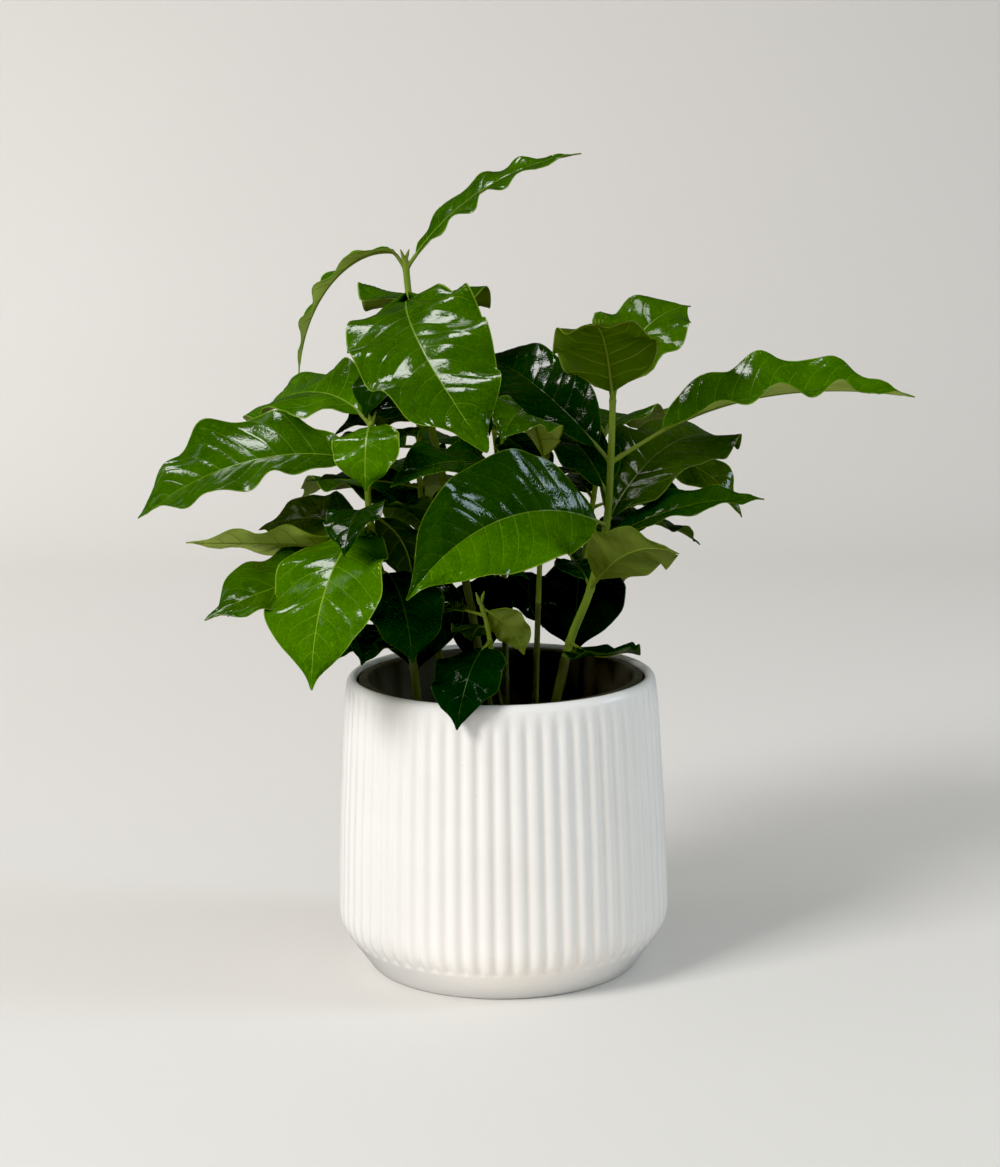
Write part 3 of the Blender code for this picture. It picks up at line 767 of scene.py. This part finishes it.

# Small shaded leaves inside the crown, which find room between the large ones. Their darker inner tone
# is painted shade.
INNER_LEAVES = {
    "tall": [
        Leaf(234, 177, 7, 37, 21, droop=51, roll=-19, stalk=5),
        Leaf(255, 4, -15, 42, 22, droop=75, roll=-25, stalk=5),
        Leaf(253, 224, 0, 34, 24, droop=79, roll=-10, stalk=5),
    ],
    "left": [
        Leaf(195, 39, -27, 46, 29, droop=88, roll=-10, stalk=5),
        Leaf(192, 261, 29, 50, 25, droop=82, roll=12, stalk=5),
    ],
    "back_left": [
        Leaf(214, 200, 5, 44, 30, droop=30),
        Leaf(197, 174, 12, 45, 24, droop=21, roll=8, stalk=5),
    ],
    "back_right": [
        Leaf(200, 185, 10, 36, 24, droop=50),
    ],
    "back": [
        Leaf(159, 309, -20, 31, 20, droop=47, roll=21, stalk=5),
        Leaf(218, 303, -9, 42, 21, droop=27, roll=14, stalk=5),
    ],
}


# %% The rule for a stem's line and a blade's frames
SOIL_GAP = 0.3
SPINE_STEPS = 48
SIDE_PHASE = 0.23
BASE_POWER = 0.8
TIP_POWER = 2.3
TIP_HALF_BREADTH = 0.4


def direction(heading, rise):
    turn, lift = math.radians(heading), math.radians(rise)
    return np.array([math.cos(lift) * math.cos(turn), math.cos(lift) * math.sin(turn), math.sin(lift)])


def stem_path(seedling, steps=10):
    """A smooth line through the stem's places; the first lies on the soil."""
    places = [(*place, SOIL_TOP + SOIL_GAP) if len(place) == 2 else place for place in seedling.places]
    places = np.array(places, float)
    ends = np.vstack([2 * places[0] - places[1], places, 2 * places[-1] - places[-2]])
    line = []
    for i in range(1, len(ends) - 2):
        a, b, c, d = ends[i - 1 : i + 3]
        for t in np.linspace(0, 1, steps, endpoint=False):
            line.append(
                b + 0.5 * t * (c - a + t * (2 * a - 5 * b + 4 * c - d + t * (3 * (b - c) + d - a)))
            )
    line.append(places[-1])
    return np.array(line)


def point_at(path, height):
    return np.array([np.interp(height, path[:, 2], path[:, axis]) for axis in range(3)])


def half_breadth(leaf, t):
    """Half the blade's breadth at t along it, as a share of its greatest half breadth."""
    t = np.asarray(t, float)
    near = np.clip((leaf.widest - t) / leaf.widest, 0, 1)
    far = np.clip((t - leaf.widest) / (1 - leaf.widest), 0, 1)
    return np.where(t < leaf.widest, (1 - near**2) ** BASE_POWER, (1 - far**TIP_POWER) ** leaf.tip)


def blade_frames(leaf, node):
    """Points along the blade's midrib, from its base to its tip, with its side and up there."""
    point = node + direction(leaf.heading, leaf.rise) * leaf.stalk
    frames = []
    for step in range(SPINE_STEPS + 1):
        t = step / SPINE_STEPS
        heading = leaf.heading + leaf.swing * t
        forward = direction(heading, leaf.rise - leaf.droop * t**leaf.late)
        level = np.array([-math.sin(math.radians(heading)), math.cos(math.radians(heading)), 0.0])
        lift = np.cross(forward, level)
        turn = math.radians(leaf.roll + leaf.twist * t)
        side = level * math.cos(turn) + lift * math.sin(turn)
        up = lift * math.cos(turn) - level * math.sin(turn)
        frames.append((point, side, up))
        point = point + forward * leaf.length / SPINE_STEPS
    return np.array(frames)


def frames_at(frames, t):
    """The midrib's point, side and up at t along the blade, which may be an array."""
    steps = np.arange(SPINE_STEPS + 1)
    place = np.clip(t, 0, 1) * SPINE_STEPS
    return [
        np.stack([np.interp(place, steps, frames[:, part, axis]) for axis in range(3)], axis=-1)
        for part in range(3)
    ]


def blade_points(leaf, frames, t, across, relief=0.0, trim=1.0, back=0.0):
    """The blade's middle surface for arrays of t along it and across it, from -1 to 1.

    Relief raises it, trim narrows it, and back draws points towards the stalk, all three as arrays.
    """
    t, across = np.broadcast_arrays(np.asarray(t, float), np.asarray(across, float))
    point, side, up = frames_at(frames, t)
    breadth = leaf.width / 2 * half_breadth(leaf, t) * trim + TIP_HALF_BREADTH
    fold = math.radians(leaf.fold)
    ripple = np.sin(2 * math.pi * (leaf.waves * t + leaf.phase + SIDE_PHASE * (across < 0)))
    height = np.abs(across) * math.sin(fold) - leaf.camber * across**2
    height = height + leaf.wave * ripple * np.abs(across) ** 1.5 * np.minimum(1, 3 * t)
    out = (across * breadth * math.cos(fold))[..., None]
    rise = (height * breadth + relief)[..., None]
    return point + side * out + up * rise - np.cross(up, side) * np.asarray(back)[..., None]


# %% The rule for which leaves grow
SEED = 7
GROWTH_HEADING_SPREAD = 10.0
GROWTH_ANGLE_SPREAD = 10.0
GROWTH_SIZE_SPREAD = 0.1
LEAF_CLEARANCE = 1.7
TEST_ROWS = 14
TEST_COLUMNS = 6


def grown_leaves(pair, dice):
    """The leaves of a pair, each a little off the pair's own heading, angles and size."""
    for turn, size in ((0, 1.0), (180, pair.second)):
        if size == 0:
            continue
        yield Leaf(
            at=pair.at,
            heading=pair.heading + turn + GROWTH_HEADING_SPREAD * dice.uniform(-1, 1),
            rise=pair.rise + GROWTH_ANGLE_SPREAD * dice.uniform(-1, 1),
            length=pair.length * size * (1 + GROWTH_SIZE_SPREAD * dice.uniform(-1, 1)),
            width=pair.width * size * (1 + GROWTH_SIZE_SPREAD * dice.uniform(-1, 1)),
            droop=pair.droop + GROWTH_ANGLE_SPREAD * dice.uniform(-1, 1),
            roll=GROWTH_ANGLE_SPREAD * dice.uniform(-1, 1),
            phase=dice.uniform(0, 1),
            fold=14,
            stalk=6,
        )


def test_skin(leaf, node):
    """A thin net over the blade, to find what it would touch."""
    frames = blade_frames(leaf, node)
    rows = np.arange(TEST_ROWS + 1) / TEST_ROWS
    across = np.linspace(-1, 1, TEST_COLUMNS + 1)
    grid = blade_points(leaf, frames, rows[:, None], across[None, :])
    points = [Vector(point) for point in grid.reshape(-1, 3)]
    wide = TEST_COLUMNS + 1
    corners = [row * wide + column for row in range(TEST_ROWS) for column in range(TEST_COLUMNS)]
    faces = [(corner, corner + 1, corner + wide + 1, corner + wide) for corner in corners]
    return points, BVHTree.FromPolygons(points, faces)


def touches(skin, other):
    """Whether two blades cross or come closer than the clearance."""
    points, tree = skin
    other_points, other_tree = other
    if tree.overlap(other_tree):
        return True
    near = min(
        min(other_tree.find_nearest(point)[3] for point in points),
        min(tree.find_nearest(point)[3] for point in other_points),
    )
    return near < LEAF_CLEARANCE


def plan_leaves():
    """Each seedling's leaves: those with places of their own first, then the others that find room."""
    dice = np.random.default_rng(SEED)
    plan = {name: [] for name in SEEDLINGS}
    paths = {name: stem_path(seedling) for name, seedling in SEEDLINGS.items()}
    skins = []

    def add(name, leaf, needs_room=True):
        skin = test_skin(leaf, point_at(paths[name], leaf.at))
        if needs_room and any(touches(skin, other) for other in skins):
            return
        plan[name].append(leaf)
        skins.append(skin)

    for name, seedling in SEEDLINGS.items():
        for leaf in seedling.leaves:
            add(name, leaf, needs_room=False)
    for name, seedling in SEEDLINGS.items():
        for pair in seedling.pairs:
            for leaf in grown_leaves(pair, dice):
                add(name, leaf)
    for name, leaves in INNER_LEAVES.items():
        for leaf in leaves:
            add(name, leaf)
    return plan


plan = plan_leaves()
print("leaves:", {name: len(leaves) for name, leaves in plan.items()})

# %% [markdown]
# ## The finishes of leaf and stem
# A coffee leaf is glossy and dark above, with a paler midrib and side veins, and dull and pale below.
# The youngest leaves are the brightest. A texture that has to follow each vein would need its own map
# for every leaf, so the veins are faces of the mesh with a paler material. A tone is a set of three
# materials for the upper side: blade, side vein and midrib. A leaf that is folded along its midrib can
# have one tone for each half, which paints light and shade on the two sides of the fold. The inner tone
# and the darkest tone are painted shade: darker copies of the leaf colour for leaves inside and low under
# the crown. The shaded tones mirror less, because such a leaf sees little but other leaves, and each tone
# has its own underside, palest on the young ones. The deep underside and the darkest one are painted
# shade as well: darker copies for leaves whose lower side lies in the crown's shade.

# %% The tones of the leaves
# Each tone's blade, the darker colour that mottles it at random, its side veins and its midrib, which
# also colours the leaf's edge as a painted highlight.
TONES = {
    "young": ((0.052, 0.140, 0.001), (0.026, 0.085, 0.001), (0.110, 0.230, 0.008), (0.18, 0.31, 0.02)),
    "green": ((0.036, 0.098, 0.001), (0.017, 0.056, 0.001), (0.070, 0.155, 0.004), (0.14, 0.25, 0.015)),
    "olive": ((0.048, 0.088, 0.002), (0.026, 0.052, 0.001), (0.080, 0.125, 0.006), (0.14, 0.20, 0.015)),
    "fresh": ((0.044, 0.108, 0.002), (0.024, 0.070, 0.001), (0.026, 0.066, 0.002), (0.12, 0.22, 0.015)),
    "shaded": ((0.038, 0.078, 0.005), (0.022, 0.050, 0.003), (0.072, 0.112, 0.015), (0.11, 0.16, 0.025)),
    "deep": ((0.017, 0.055, 0.001), (0.009, 0.034, 0.001), (0.034, 0.084, 0.003), (0.08, 0.15, 0.01)),
    "dark": ((0.010, 0.034, 0.002), (0.005, 0.021, 0.002), (0.019, 0.052, 0.004), (0.045, 0.09, 0.009)),
    # The inner tone and the darkest tone below it are painted shade: darker copies of the leaf colour for the
    # leaves inside, low under and at the back of the crown.
    "inner": ((0.008, 0.027, 0.002), (0.004, 0.017, 0.002), (0.015, 0.042, 0.004), (0.03, 0.065, 0.008)),
    "night": ((0.004, 0.016, 0.003), (0.002, 0.010, 0.002), (0.007, 0.024, 0.005), (0.02, 0.05, 0.006)),
}
BLADE, SIDE_VEIN, MIDRIB_AND_EDGE_HIGHLIGHT = 0, 1, 2
GLOSS = {"fresh": 0.18, "shaded": 0.12, "inner": 0.2, "night": 0.06}
USUAL_GLOSS = 0.36
# The deep underside and the darkest one are painted shade: darker copies of the underside colour for leaves
# whose lower side lies in the crown's shade.
UNDERSIDES = {
    "pale": ((0.360, 0.460, 0.080), (0.270, 0.360, 0.055)),
    "leaf": ((0.140, 0.190, 0.028), (0.100, 0.145, 0.018)),
    "deep": ((0.070, 0.135, 0.004), (0.048, 0.098, 0.002)),
    "night": ((0.022, 0.046, 0.003), (0.012, 0.028, 0.002)),
}
# The olive, shaded, dark and inner tones and the darkest tone take the painted-shade undersides.
TONE_UNDERSIDES = {
    "young": "pale",
    "green": "leaf",
    "fresh": "leaf",
    "deep": "leaf",
    "olive": "deep",
    "shaded": "deep",
    "dark": "deep",
    "inner": "night",
    "night": "night",
}


# %% The upper sides
def blade_material(name, colour, second, gloss):
    material = new_material(name, colour, 0.14, gloss=gloss)
    pale = tuple(1.8 * value for value in colour)
    mottle(material, 70, second)
    blend_colour(material, ranged(material, cells(material, 620), 0.3, 0, 0.0, 0.12), pale)
    blend_colour(material, ranged(material, cloudy(material, 420, 4), 0, 0.45, 0.55, 0.75), pale)
    vary_roughness(material, ranged(material, cloudy(material, 120), 0.07, 0.14))
    raise_relief(material, cells(material, 620), 0.3, 0.0002)
    raise_relief(material, cloudy(material, 300, 5), 0.2, 0.0009)
    return material


def vein_material(name, colour):
    material = new_material(name, colour, 0.28, gloss=0.3)
    shade = tuple(0.75 * value for value in colour)
    mottle(material, 160, shade)
    raise_relief(material, cloudy(material, 700, 2), 0.2, 0.0002)
    return material


tone_materials = {}
for tone, (colour, second, side_vein, midrib) in TONES.items():
    tone_materials[tone] = [
        blade_material(f"leaf_{tone}", colour, second, GLOSS.get(tone, USUAL_GLOSS)),
        vein_material(f"side_vein_{tone}", side_vein),
        vein_material(f"midrib_{tone}", midrib),
    ]


# %% The undersides
def under_material(name, colour, second):
    material = new_material(name, colour, 0.5, gloss=0.2)
    mottle(material, 70, second)
    vary_roughness(material, ranged(material, cloudy(material, 150), 0.42, 0.6))
    raise_relief(material, cells(material, 560), 0.35, 0.0002)
    return material


def under_vein_material(name, colour, kind):
    material = new_material(name, colour, 0.45, gloss=0.25)
    mottle(material, 200, UNDERSIDES[kind][0])
    return material


undersides = {kind: under_material(f"{kind}_underside", *colours) for kind, colours in UNDERSIDES.items()}
under_vein = under_vein_material("underside_vein", (0.15, 0.22, 0.02), "leaf")
# The vein of the darkest underside is painted shade as well.
painted_shade_vein = under_vein_material("painted_shade_vein", (0.045, 0.085, 0.006), "night")
print("leaf materials:", 3 * len(tone_materials) + len(undersides) + 2)

# %% Finish the stems
stem_green = new_material("green_stem", (0.20, 0.29, 0.02), 0.38, coat=0.15, coat_roughness=0.25)
mottle(stem_green, 160, (0.12, 0.19, 0.016), 4, (1, 1, 0.15))
raise_relief(stem_green, cloudy(stem_green, 900, 4, (1, 1, 0.12)), 0.3, 0.0003)

# The bark of the lower stems is partly their own older colour and partly painted shade: it is darker for the
# shade that the crown throws on them.
bark = new_material("green_bark_and_painted_shade", (0.10, 0.13, 0.018), 0.55)
mottle(bark, 140, (0.060, 0.060, 0.015), 5, (1, 1, 0.2))
blend_colour(bark, ranged(bark, cells(bark, 420, "F1"), 0.7, 0, 0.1, 0.24), (0.13, 0.11, 0.06))
raise_relief(bark, cloudy(bark, 700, 6, (1, 1, 0.15)), 0.5, 0.0005)

# %% [markdown]
# ## Stems and stalks
# A stem is a round tube that tapers to its tip, with a flared foot, a swelling at every pair of leaves,
# rings where old leaves fell and fine ridges along it. A curve with a bevel can't carry that relief, so
# the tube is a net of rings laid square to the stem's line. A stalk is the same net, and it runs on
# under its blade as the raised midrib.

# %% A tube's net
SCAR_SWELL = 0.16
SCAR_REACH = 0.8


def tube_net(points, radii, sides, ridges=0.0, scars=()):
    """Points and faces of a closed tube along a line; ridges and scars shape its radius."""
    points = np.asarray(points, float)
    along = np.gradient(points, axis=0)
    along /= np.linalg.norm(along, axis=1)[:, None]
    guide = np.array([0.0, 1.0, 0.0]) if abs(along[0][1]) < 0.8 else np.array([1.0, 0.0, 0.0])
    net = []
    turns = np.linspace(0, 2 * math.pi, sides, endpoint=False)
    for point, forward, radius in zip(points, along, radii):
        guide = guide - forward * guide.dot(forward)
        guide /= np.linalg.norm(guide)
        other = np.cross(forward, guide)
        swell = 1 + SCAR_SWELL * sum(math.exp(-(((point[2] - scar) / SCAR_REACH) ** 2)) for scar in scars)
        spread = radius * swell * (1 + ridges * (0.6 * np.cos(4 * turns) + 0.4 * np.cos(9 * turns + 1)))
        net.append(point + np.outer(spread * np.cos(turns), guide) + np.outer(spread * np.sin(turns), other))
    rings = len(points)
    faces = []
    for ring in range(rings - 1):
        for side in range(sides):
            after = (side + 1) % sides
            faces.append([ring * sides + side, ring * sides + after,
                          (ring + 1) * sides + after, (ring + 1) * sides + side])
    faces.append(list(range(sides))[::-1])
    faces.append([(rings - 1) * sides + side for side in range(sides)])
    return np.concatenate(net), faces


# %% Join many nets in one mesh
class Bundle:
    """Collects nets that are joined into one mesh, with a material slot for each face."""

    def __init__(self):
        self.points = []
        self.faces = []
        self.slots = []
        self.count = 0

    def add(self, points, faces, slots):
        self.points.append(points)
        self.faces += [[corner + self.count for corner in face] for face in faces]
        self.slots += [slots] * len(faces) if isinstance(slots, int) else list(slots)
        self.count += len(points)

    def make(self, name, materials):
        piece = joined_mesh(name, np.concatenate(self.points), self.faces, materials, self.slots)
        bpy.ops.object.select_all(action="DESELECT")
        piece.select_set(True)
        bpy.context.view_layer.objects.active = piece
        bpy.ops.object.shade_smooth_by_angle(angle=math.radians(50))
        return piece


# %% Stems with their bark, and stalks with their midribs
STEM_STEP = 0.9
STEM_SIDES = 18
STEM_TAPER = 0.3
FOOT_FLARE = 0.35
FLARE_HEIGHT = 5.0
STALK_RADIUS = 0.95
STALK_SIDES = 10
STALK_SWELLS = ((0.0, 1.35), (0.2, 1.2), (0.4, 1.0), (0.6, 0.92), (0.8, 0.9))
RIDGES = 0.035
SCAR_SPACING = 19.0


def stem_radius(seedling, height, tip):
    foot = SOIL_TOP + SOIL_GAP
    flare = FOOT_FLARE * math.exp(-(height - foot) / FLARE_HEIGHT)
    return seedling.radius * (1 + flare - STEM_TAPER * (height - foot) / (tip - foot))


def stem_net(seedling, low, high, scars):
    path = stem_path(seedling)
    tip = path[-1][2]
    heights = np.linspace(low, high, max(3, round((high - low) / STEM_STEP)))
    points = np.array([point_at(path, height) for height in heights])
    points[:, 2] = heights
    radii = [stem_radius(seedling, max(height, SOIL_TOP), tip) for height in heights]
    return tube_net(points, radii, STEM_SIDES, RIDGES, scars)


def stalk_net(leaf, node):
    """From the middle of the stem, along the stalk, and under the blade to near its tip."""
    frames = blade_frames(leaf, node)
    start = direction(leaf.heading, leaf.rise)
    size = min(1.0, 0.55 + leaf.length / 180)
    points = [node + start * leaf.stalk * share for share, _ in STALK_SWELLS]
    radii = [STALK_RADIUS * size * swell for _, swell in STALK_SWELLS]
    for share in np.linspace(0, 0.95, 34):
        radius = STALK_RADIUS * size * (0.88 - 0.68 * share**0.7)
        point, _, up = frames_at(frames, share)
        points.append(point - up * 0.75 * radius * smooth_step(share, 0, 0.1))
        radii.append(radius)
    return tube_net(points, radii, STALK_SIDES)


def bud_net(point, forward, length, radius):
    """A slim pointed bud."""
    shares = np.linspace(0, 1, 9)
    points = [point + forward * length * share for share in shares]
    radii = [radius * (1 - share**1.6) ** 0.8 + 0.08 for share in shares]
    return tube_net(points, radii, STALK_SIDES)


# %% Make the stems, stalks and buds of every seedling
BUD_LENGTH = 5.5
BUD_RADIUS = 0.9
BURIED = 3.0

for name, seedling in SEEDLINGS.items():
    path = stem_path(seedling)
    tip = path[-1][2]
    scars = list(np.arange(SOIL_TOP + 14, seedling.bare, SCAR_SPACING))
    lower = Bundle()
    lower.add(*stem_net(seedling, SOIL_TOP - BURIED, seedling.bare, scars), 0)
    piece = lower.make(f"{name}_stem_bark", [bark])
    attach(piece, "root")
    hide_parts(f"{name}_stem")

    nodes = sorted({leaf.at for leaf in plan[name]})
    upper = Bundle()
    upper.add(*stem_net(seedling, seedling.bare, tip, nodes), 0)
    for leaf in plan[name]:
        upper.add(*stalk_net(leaf, point_at(path, leaf.at)), 1)
    for turn in (-1, 1):
        lean = np.array([0.35 * turn, 0.2 * turn, 1.0])
        upper.add(*bud_net(path[-1] - [0, 0, 1], lean / np.linalg.norm(lean), BUD_LENGTH, BUD_RADIUS), 1)
    piece = upper.make(f"{name}_twigs", [stem_green, under_vein])
    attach(piece, "root")
    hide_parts(f"{name}_foliage")

# %% [markdown]
# ## The leaves
# Every blade is a thin closed shell. Its net follows the veins: the lines that run out from the midrib
# slant forward as the side veins do, two of them lie close together at each vein, and the blade bulges
# between one vein and the next. That quilting is what breaks the light into bright patches. The narrow
# strips take the vein material, and so do the outermost strip and the rim: their pale colour is a painted
# highlight along the leaf's edge. Broad swells and a ruffled margin, from seeded dice, make sure that no
# two blades are alike.

# %% The net of a blade
VEIN_SPACING = 8.6
VEIN_COUNTS = (4, 13)
HALF_VEIN = 0.03
BETWEEN_VEINS = (0.14, 0.32, 0.5, 0.68, 0.86)
VEIN_TAPER = 0.6
VEIN_SLANT = 0.55
VEIN_CURVE = 0.3
RIB_WIDTHS = (0.5, 0.16)
RIB_SHARES = (0.015, 0.3)
MARGIN = 0.42
MARGIN_SHARES = (0, 0.1)
SIDE_COLUMNS = 14


def vein_rows(count):
    """Places along the midrib, in vein spacings, and which gap between two rows is a vein."""
    rows = [0.0]
    strips = []
    for number in range(count + 1):
        for share in BETWEEN_VEINS:
            rows.append(number + share)
            strips.append(False)
        if number < count:
            rows += [number + 1 - HALF_VEIN, number + 1 + HALF_VEIN]
            strips += [False, True]
    rows.append(count + 1.0)
    strips.append(False)
    return np.array(rows), np.array(strips)


def vein_grid(leaf, count):
    """Each point's t along the blade, place across it and vein spacing, and which strips are veins."""
    rows, strips = vein_rows(count)
    breadths = leaf.width / 2 * half_breadth(leaf, rows / (count + 1)) + TIP_HALF_BREADTH
    rib = np.clip(np.linspace(*RIB_WIDTHS, len(rows)) / breadths, *RIB_SHARES)[:, None]
    margin = np.clip(MARGIN / breadths, *MARGIN_SHARES)[:, None]
    steps = np.linspace(0, 1, SIDE_COLUMNS) * (1 - margin)
    one_side = rib + (1 - rib) * np.concatenate([steps, np.ones((len(rows), 1))], axis=1)
    across = np.concatenate([-one_side[:, ::-1], np.zeros((len(rows), 1)), one_side], axis=1)
    reach = np.abs(across)
    centre = np.round(rows)
    narrowing = centre[:, None] + (rows - centre)[:, None] * (1 - VEIN_TAPER * reach)
    is_vein_edge = np.abs(np.abs(rows - centre) - HALF_VEIN) < 1e-6
    place = np.where(is_vein_edge[:, None], narrowing, rows[:, None])
    forward = (VEIN_SLANT * reach + VEIN_CURVE * reach**3) * (breadths / leaf.length)[:, None]
    return np.clip(place / (count + 1) + forward, 0, 1), across, place, strips


# %% The relief of a blade
QUILT = 0.042
QUILT_SPREAD = (0.5, 1.5)
SWELLS = 5
SWELL = 0.003
RUFFLES = 3
RUFFLE = 0.03
RIB_VALLEY = 0.08
MARGIN_CALM = 0.45


def blade_relief(leaf, t, across, place, count, dice):
    """How far each point lies off the smooth blade: quilting, broad swells and a ruffled margin."""
    reach = np.abs(across)
    side = (across > 0).astype(int)
    bulge = 1 - np.abs(2 * (place - np.floor(place)) - 1) ** 4
    profile = (1 - np.exp(-reach / RIB_VALLEY)) * (1 - MARGIN_CALM * reach**2)
    strength = dice.uniform(*QUILT_SPREAD, (2, count + 2))
    strength = strength[side, np.clip(np.floor(place), 0, count + 1).astype(int)]
    relief = QUILT * leaf.length / (count + 1) * strength * (bulge - 0.6) * profile
    for _ in range(SWELLS):
        along, sideways, turn = dice.uniform(1.5, 6), dice.uniform(-4, 4), dice.uniform(0, 6.3)
        wave = np.sin(2 * math.pi * (along * t + sideways * across / 2) + turn)
        relief = relief + SWELL * leaf.width * wave * np.sqrt(reach)
    for _ in range(RUFFLES):
        along, turn = dice.uniform(0.9, 1.8) * leaf.waves, dice.uniform(0, 6.3)
        wave = np.sin(2 * math.pi * along * t + turn + 2.2 * side)
        relief = relief + RUFFLE * leaf.width / 2 * wave * reach**3
    return relief * smooth_step(t, 0, 0.06) * smooth_step(t, 1.0, 0.9)


# %% The faces of a blade
def shell_faces(height, width):
    """The faces of a closed shell of rows and columns: the upper side, the lower one and the rim."""
    below = height * width
    corner = np.arange(below).reshape(height, width)
    a, b, c, d = corner[:-1, :-1], corner[1:, :-1], corner[1:, 1:], corner[:-1, 1:]
    top = np.stack([a, b, c, d], axis=-1).reshape(-1, 4)
    under = np.stack([d, c, b, a], axis=-1).reshape(-1, 4) + below
    rim = []
    for edge in (corner[:, 0], corner[::-1, -1], corner[0, ::-1], corner[-1]):
        rim.append(np.stack([edge[:-1], edge[:-1] + below, edge[1:] + below, edge[1:]], axis=-1))
    return top, under, np.concatenate(rim)


def face_slots(across, strips, tone_slots, under_slots):
    """The material slot of each face on the upper side, and of each on the lower one."""
    is_rib_or_edge_highlight = np.zeros((len(strips), across.shape[1] - 1), bool)
    is_rib_or_edge_highlight[:, SIDE_COLUMNS : SIDE_COLUMNS + 2] = True
    # The outermost strip on each side takes the midrib material: a painted highlight along the edge.
    is_rib_or_edge_highlight[:, [0, -1]] = True
    is_side = np.broadcast_to(strips[:, None], is_rib_or_edge_highlight.shape) & ~is_rib_or_edge_highlight
    is_side = is_side & (np.abs(across[:-1, :-1] + across[1:, 1:]) / 2 < 0.9)
    kind = np.where(is_rib_or_edge_highlight, MIDRIB_AND_EDGE_HIGHLIGHT, np.where(is_side, SIDE_VEIN, BLADE))
    half = (np.arange(is_rib_or_edge_highlight.shape[1]) > SIDE_COLUMNS).astype(int)
    upper = np.array(tone_slots)[half][None, :] + kind
    lower = np.where(is_rib_or_edge_highlight | is_side, under_slots[1], under_slots[0])
    return upper.ravel(), lower.ravel()


# %% A whole blade
SHELL = 0.26
SHELL_THINNING = 0.55
DRIP_TIP = 0.5
DRIP_START = (0.78, 0.97)


def blade_net(leaf, node, tone_slots, under_slots, dice):
    """Points, faces and slots of one leaf; tone_slots say where the three materials of each half start."""
    count = int(np.clip(round(leaf.length / VEIN_SPACING), *VEIN_COUNTS))
    t, across, place, strips = vein_grid(leaf, count)
    reach = np.abs(across)
    relief = blade_relief(leaf, t, across, place, count, dice)
    trim = 1 - DRIP_TIP * smooth_step(t, *DRIP_START)
    lobe = leaf.lobe * smooth_step(t, 0.45, 0) * smooth_step(reach, 0.05, 0.75)
    middle = blade_points(leaf, blade_frames(leaf, node), t, across, relief, trim, lobe)
    up = np.cross(np.gradient(middle, axis=0), np.gradient(middle, axis=1))
    up /= np.maximum(np.linalg.norm(up, axis=2), 1e-9)[..., None]
    thick = (SHELL * (1 - SHELL_THINNING * reach**2))[..., None]
    points = np.concatenate([(middle + up * thick).reshape(-1, 3), (middle - up * thick).reshape(-1, 3)])
    top, under, rim = shell_faces(*across.shape)
    upper, lower = face_slots(across, strips, tone_slots, under_slots)
    # The rim takes the midrib material as a painted highlight along the edge.
    slots = np.concatenate([upper, lower, np.full(len(rim), tone_slots[1] + MIDRIB_AND_EDGE_HIGHLIGHT)])
    return points, np.concatenate([top, under, rim]).tolist(), slots


# %% Make the leaves of every seedling
GROWN_TONES = ("deep", "deep", "green", "dark")
leaf_dice = np.random.default_rng(23)
for name, seedling in SEEDLINGS.items():
    path = stem_path(seedling)
    own = seedling.tones.split()
    # The inner leaves take the inner tone, which is painted shade.
    inner = ["inner"] * len(INNER_LEAVES.get(name, []))
    others = len(plan[name]) - len(own) - len(inner)
    grown = [GROWN_TONES[leaf_dice.integers(len(GROWN_TONES))] for _ in range(others)]
    # A tone written as two, such as deep/young, gives each half of a fold its own tone: painted light and
    # shade.
    halves = [tone.split("/") * (2 - tone.count("/")) for tone in own + grown + inner]
    used = sorted({tone for pair in halves for tone in pair})
    materials = [material for tone in used for material in tone_materials[tone]]
    materials += [*undersides.values(), under_vein, painted_shade_vein]
    blades = Bundle()
    for leaf, pair in zip(plan[name], halves):
        kind = TONE_UNDERSIDES[pair[0]]
        tone_slots = [len(tone_materials[tone]) * used.index(tone) for tone in pair]
        under_slots = [materials.index(undersides[kind])]
        under_slots.append(materials.index(painted_shade_vein if kind == "night" else under_vein))
        blades.add(*blade_net(leaf, point_at(path, leaf.at), tone_slots, under_slots, leaf_dice))
    piece = blades.make(f"{name}_leaves", materials)
    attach(piece, "root")
    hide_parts(f"{name}_foliage")
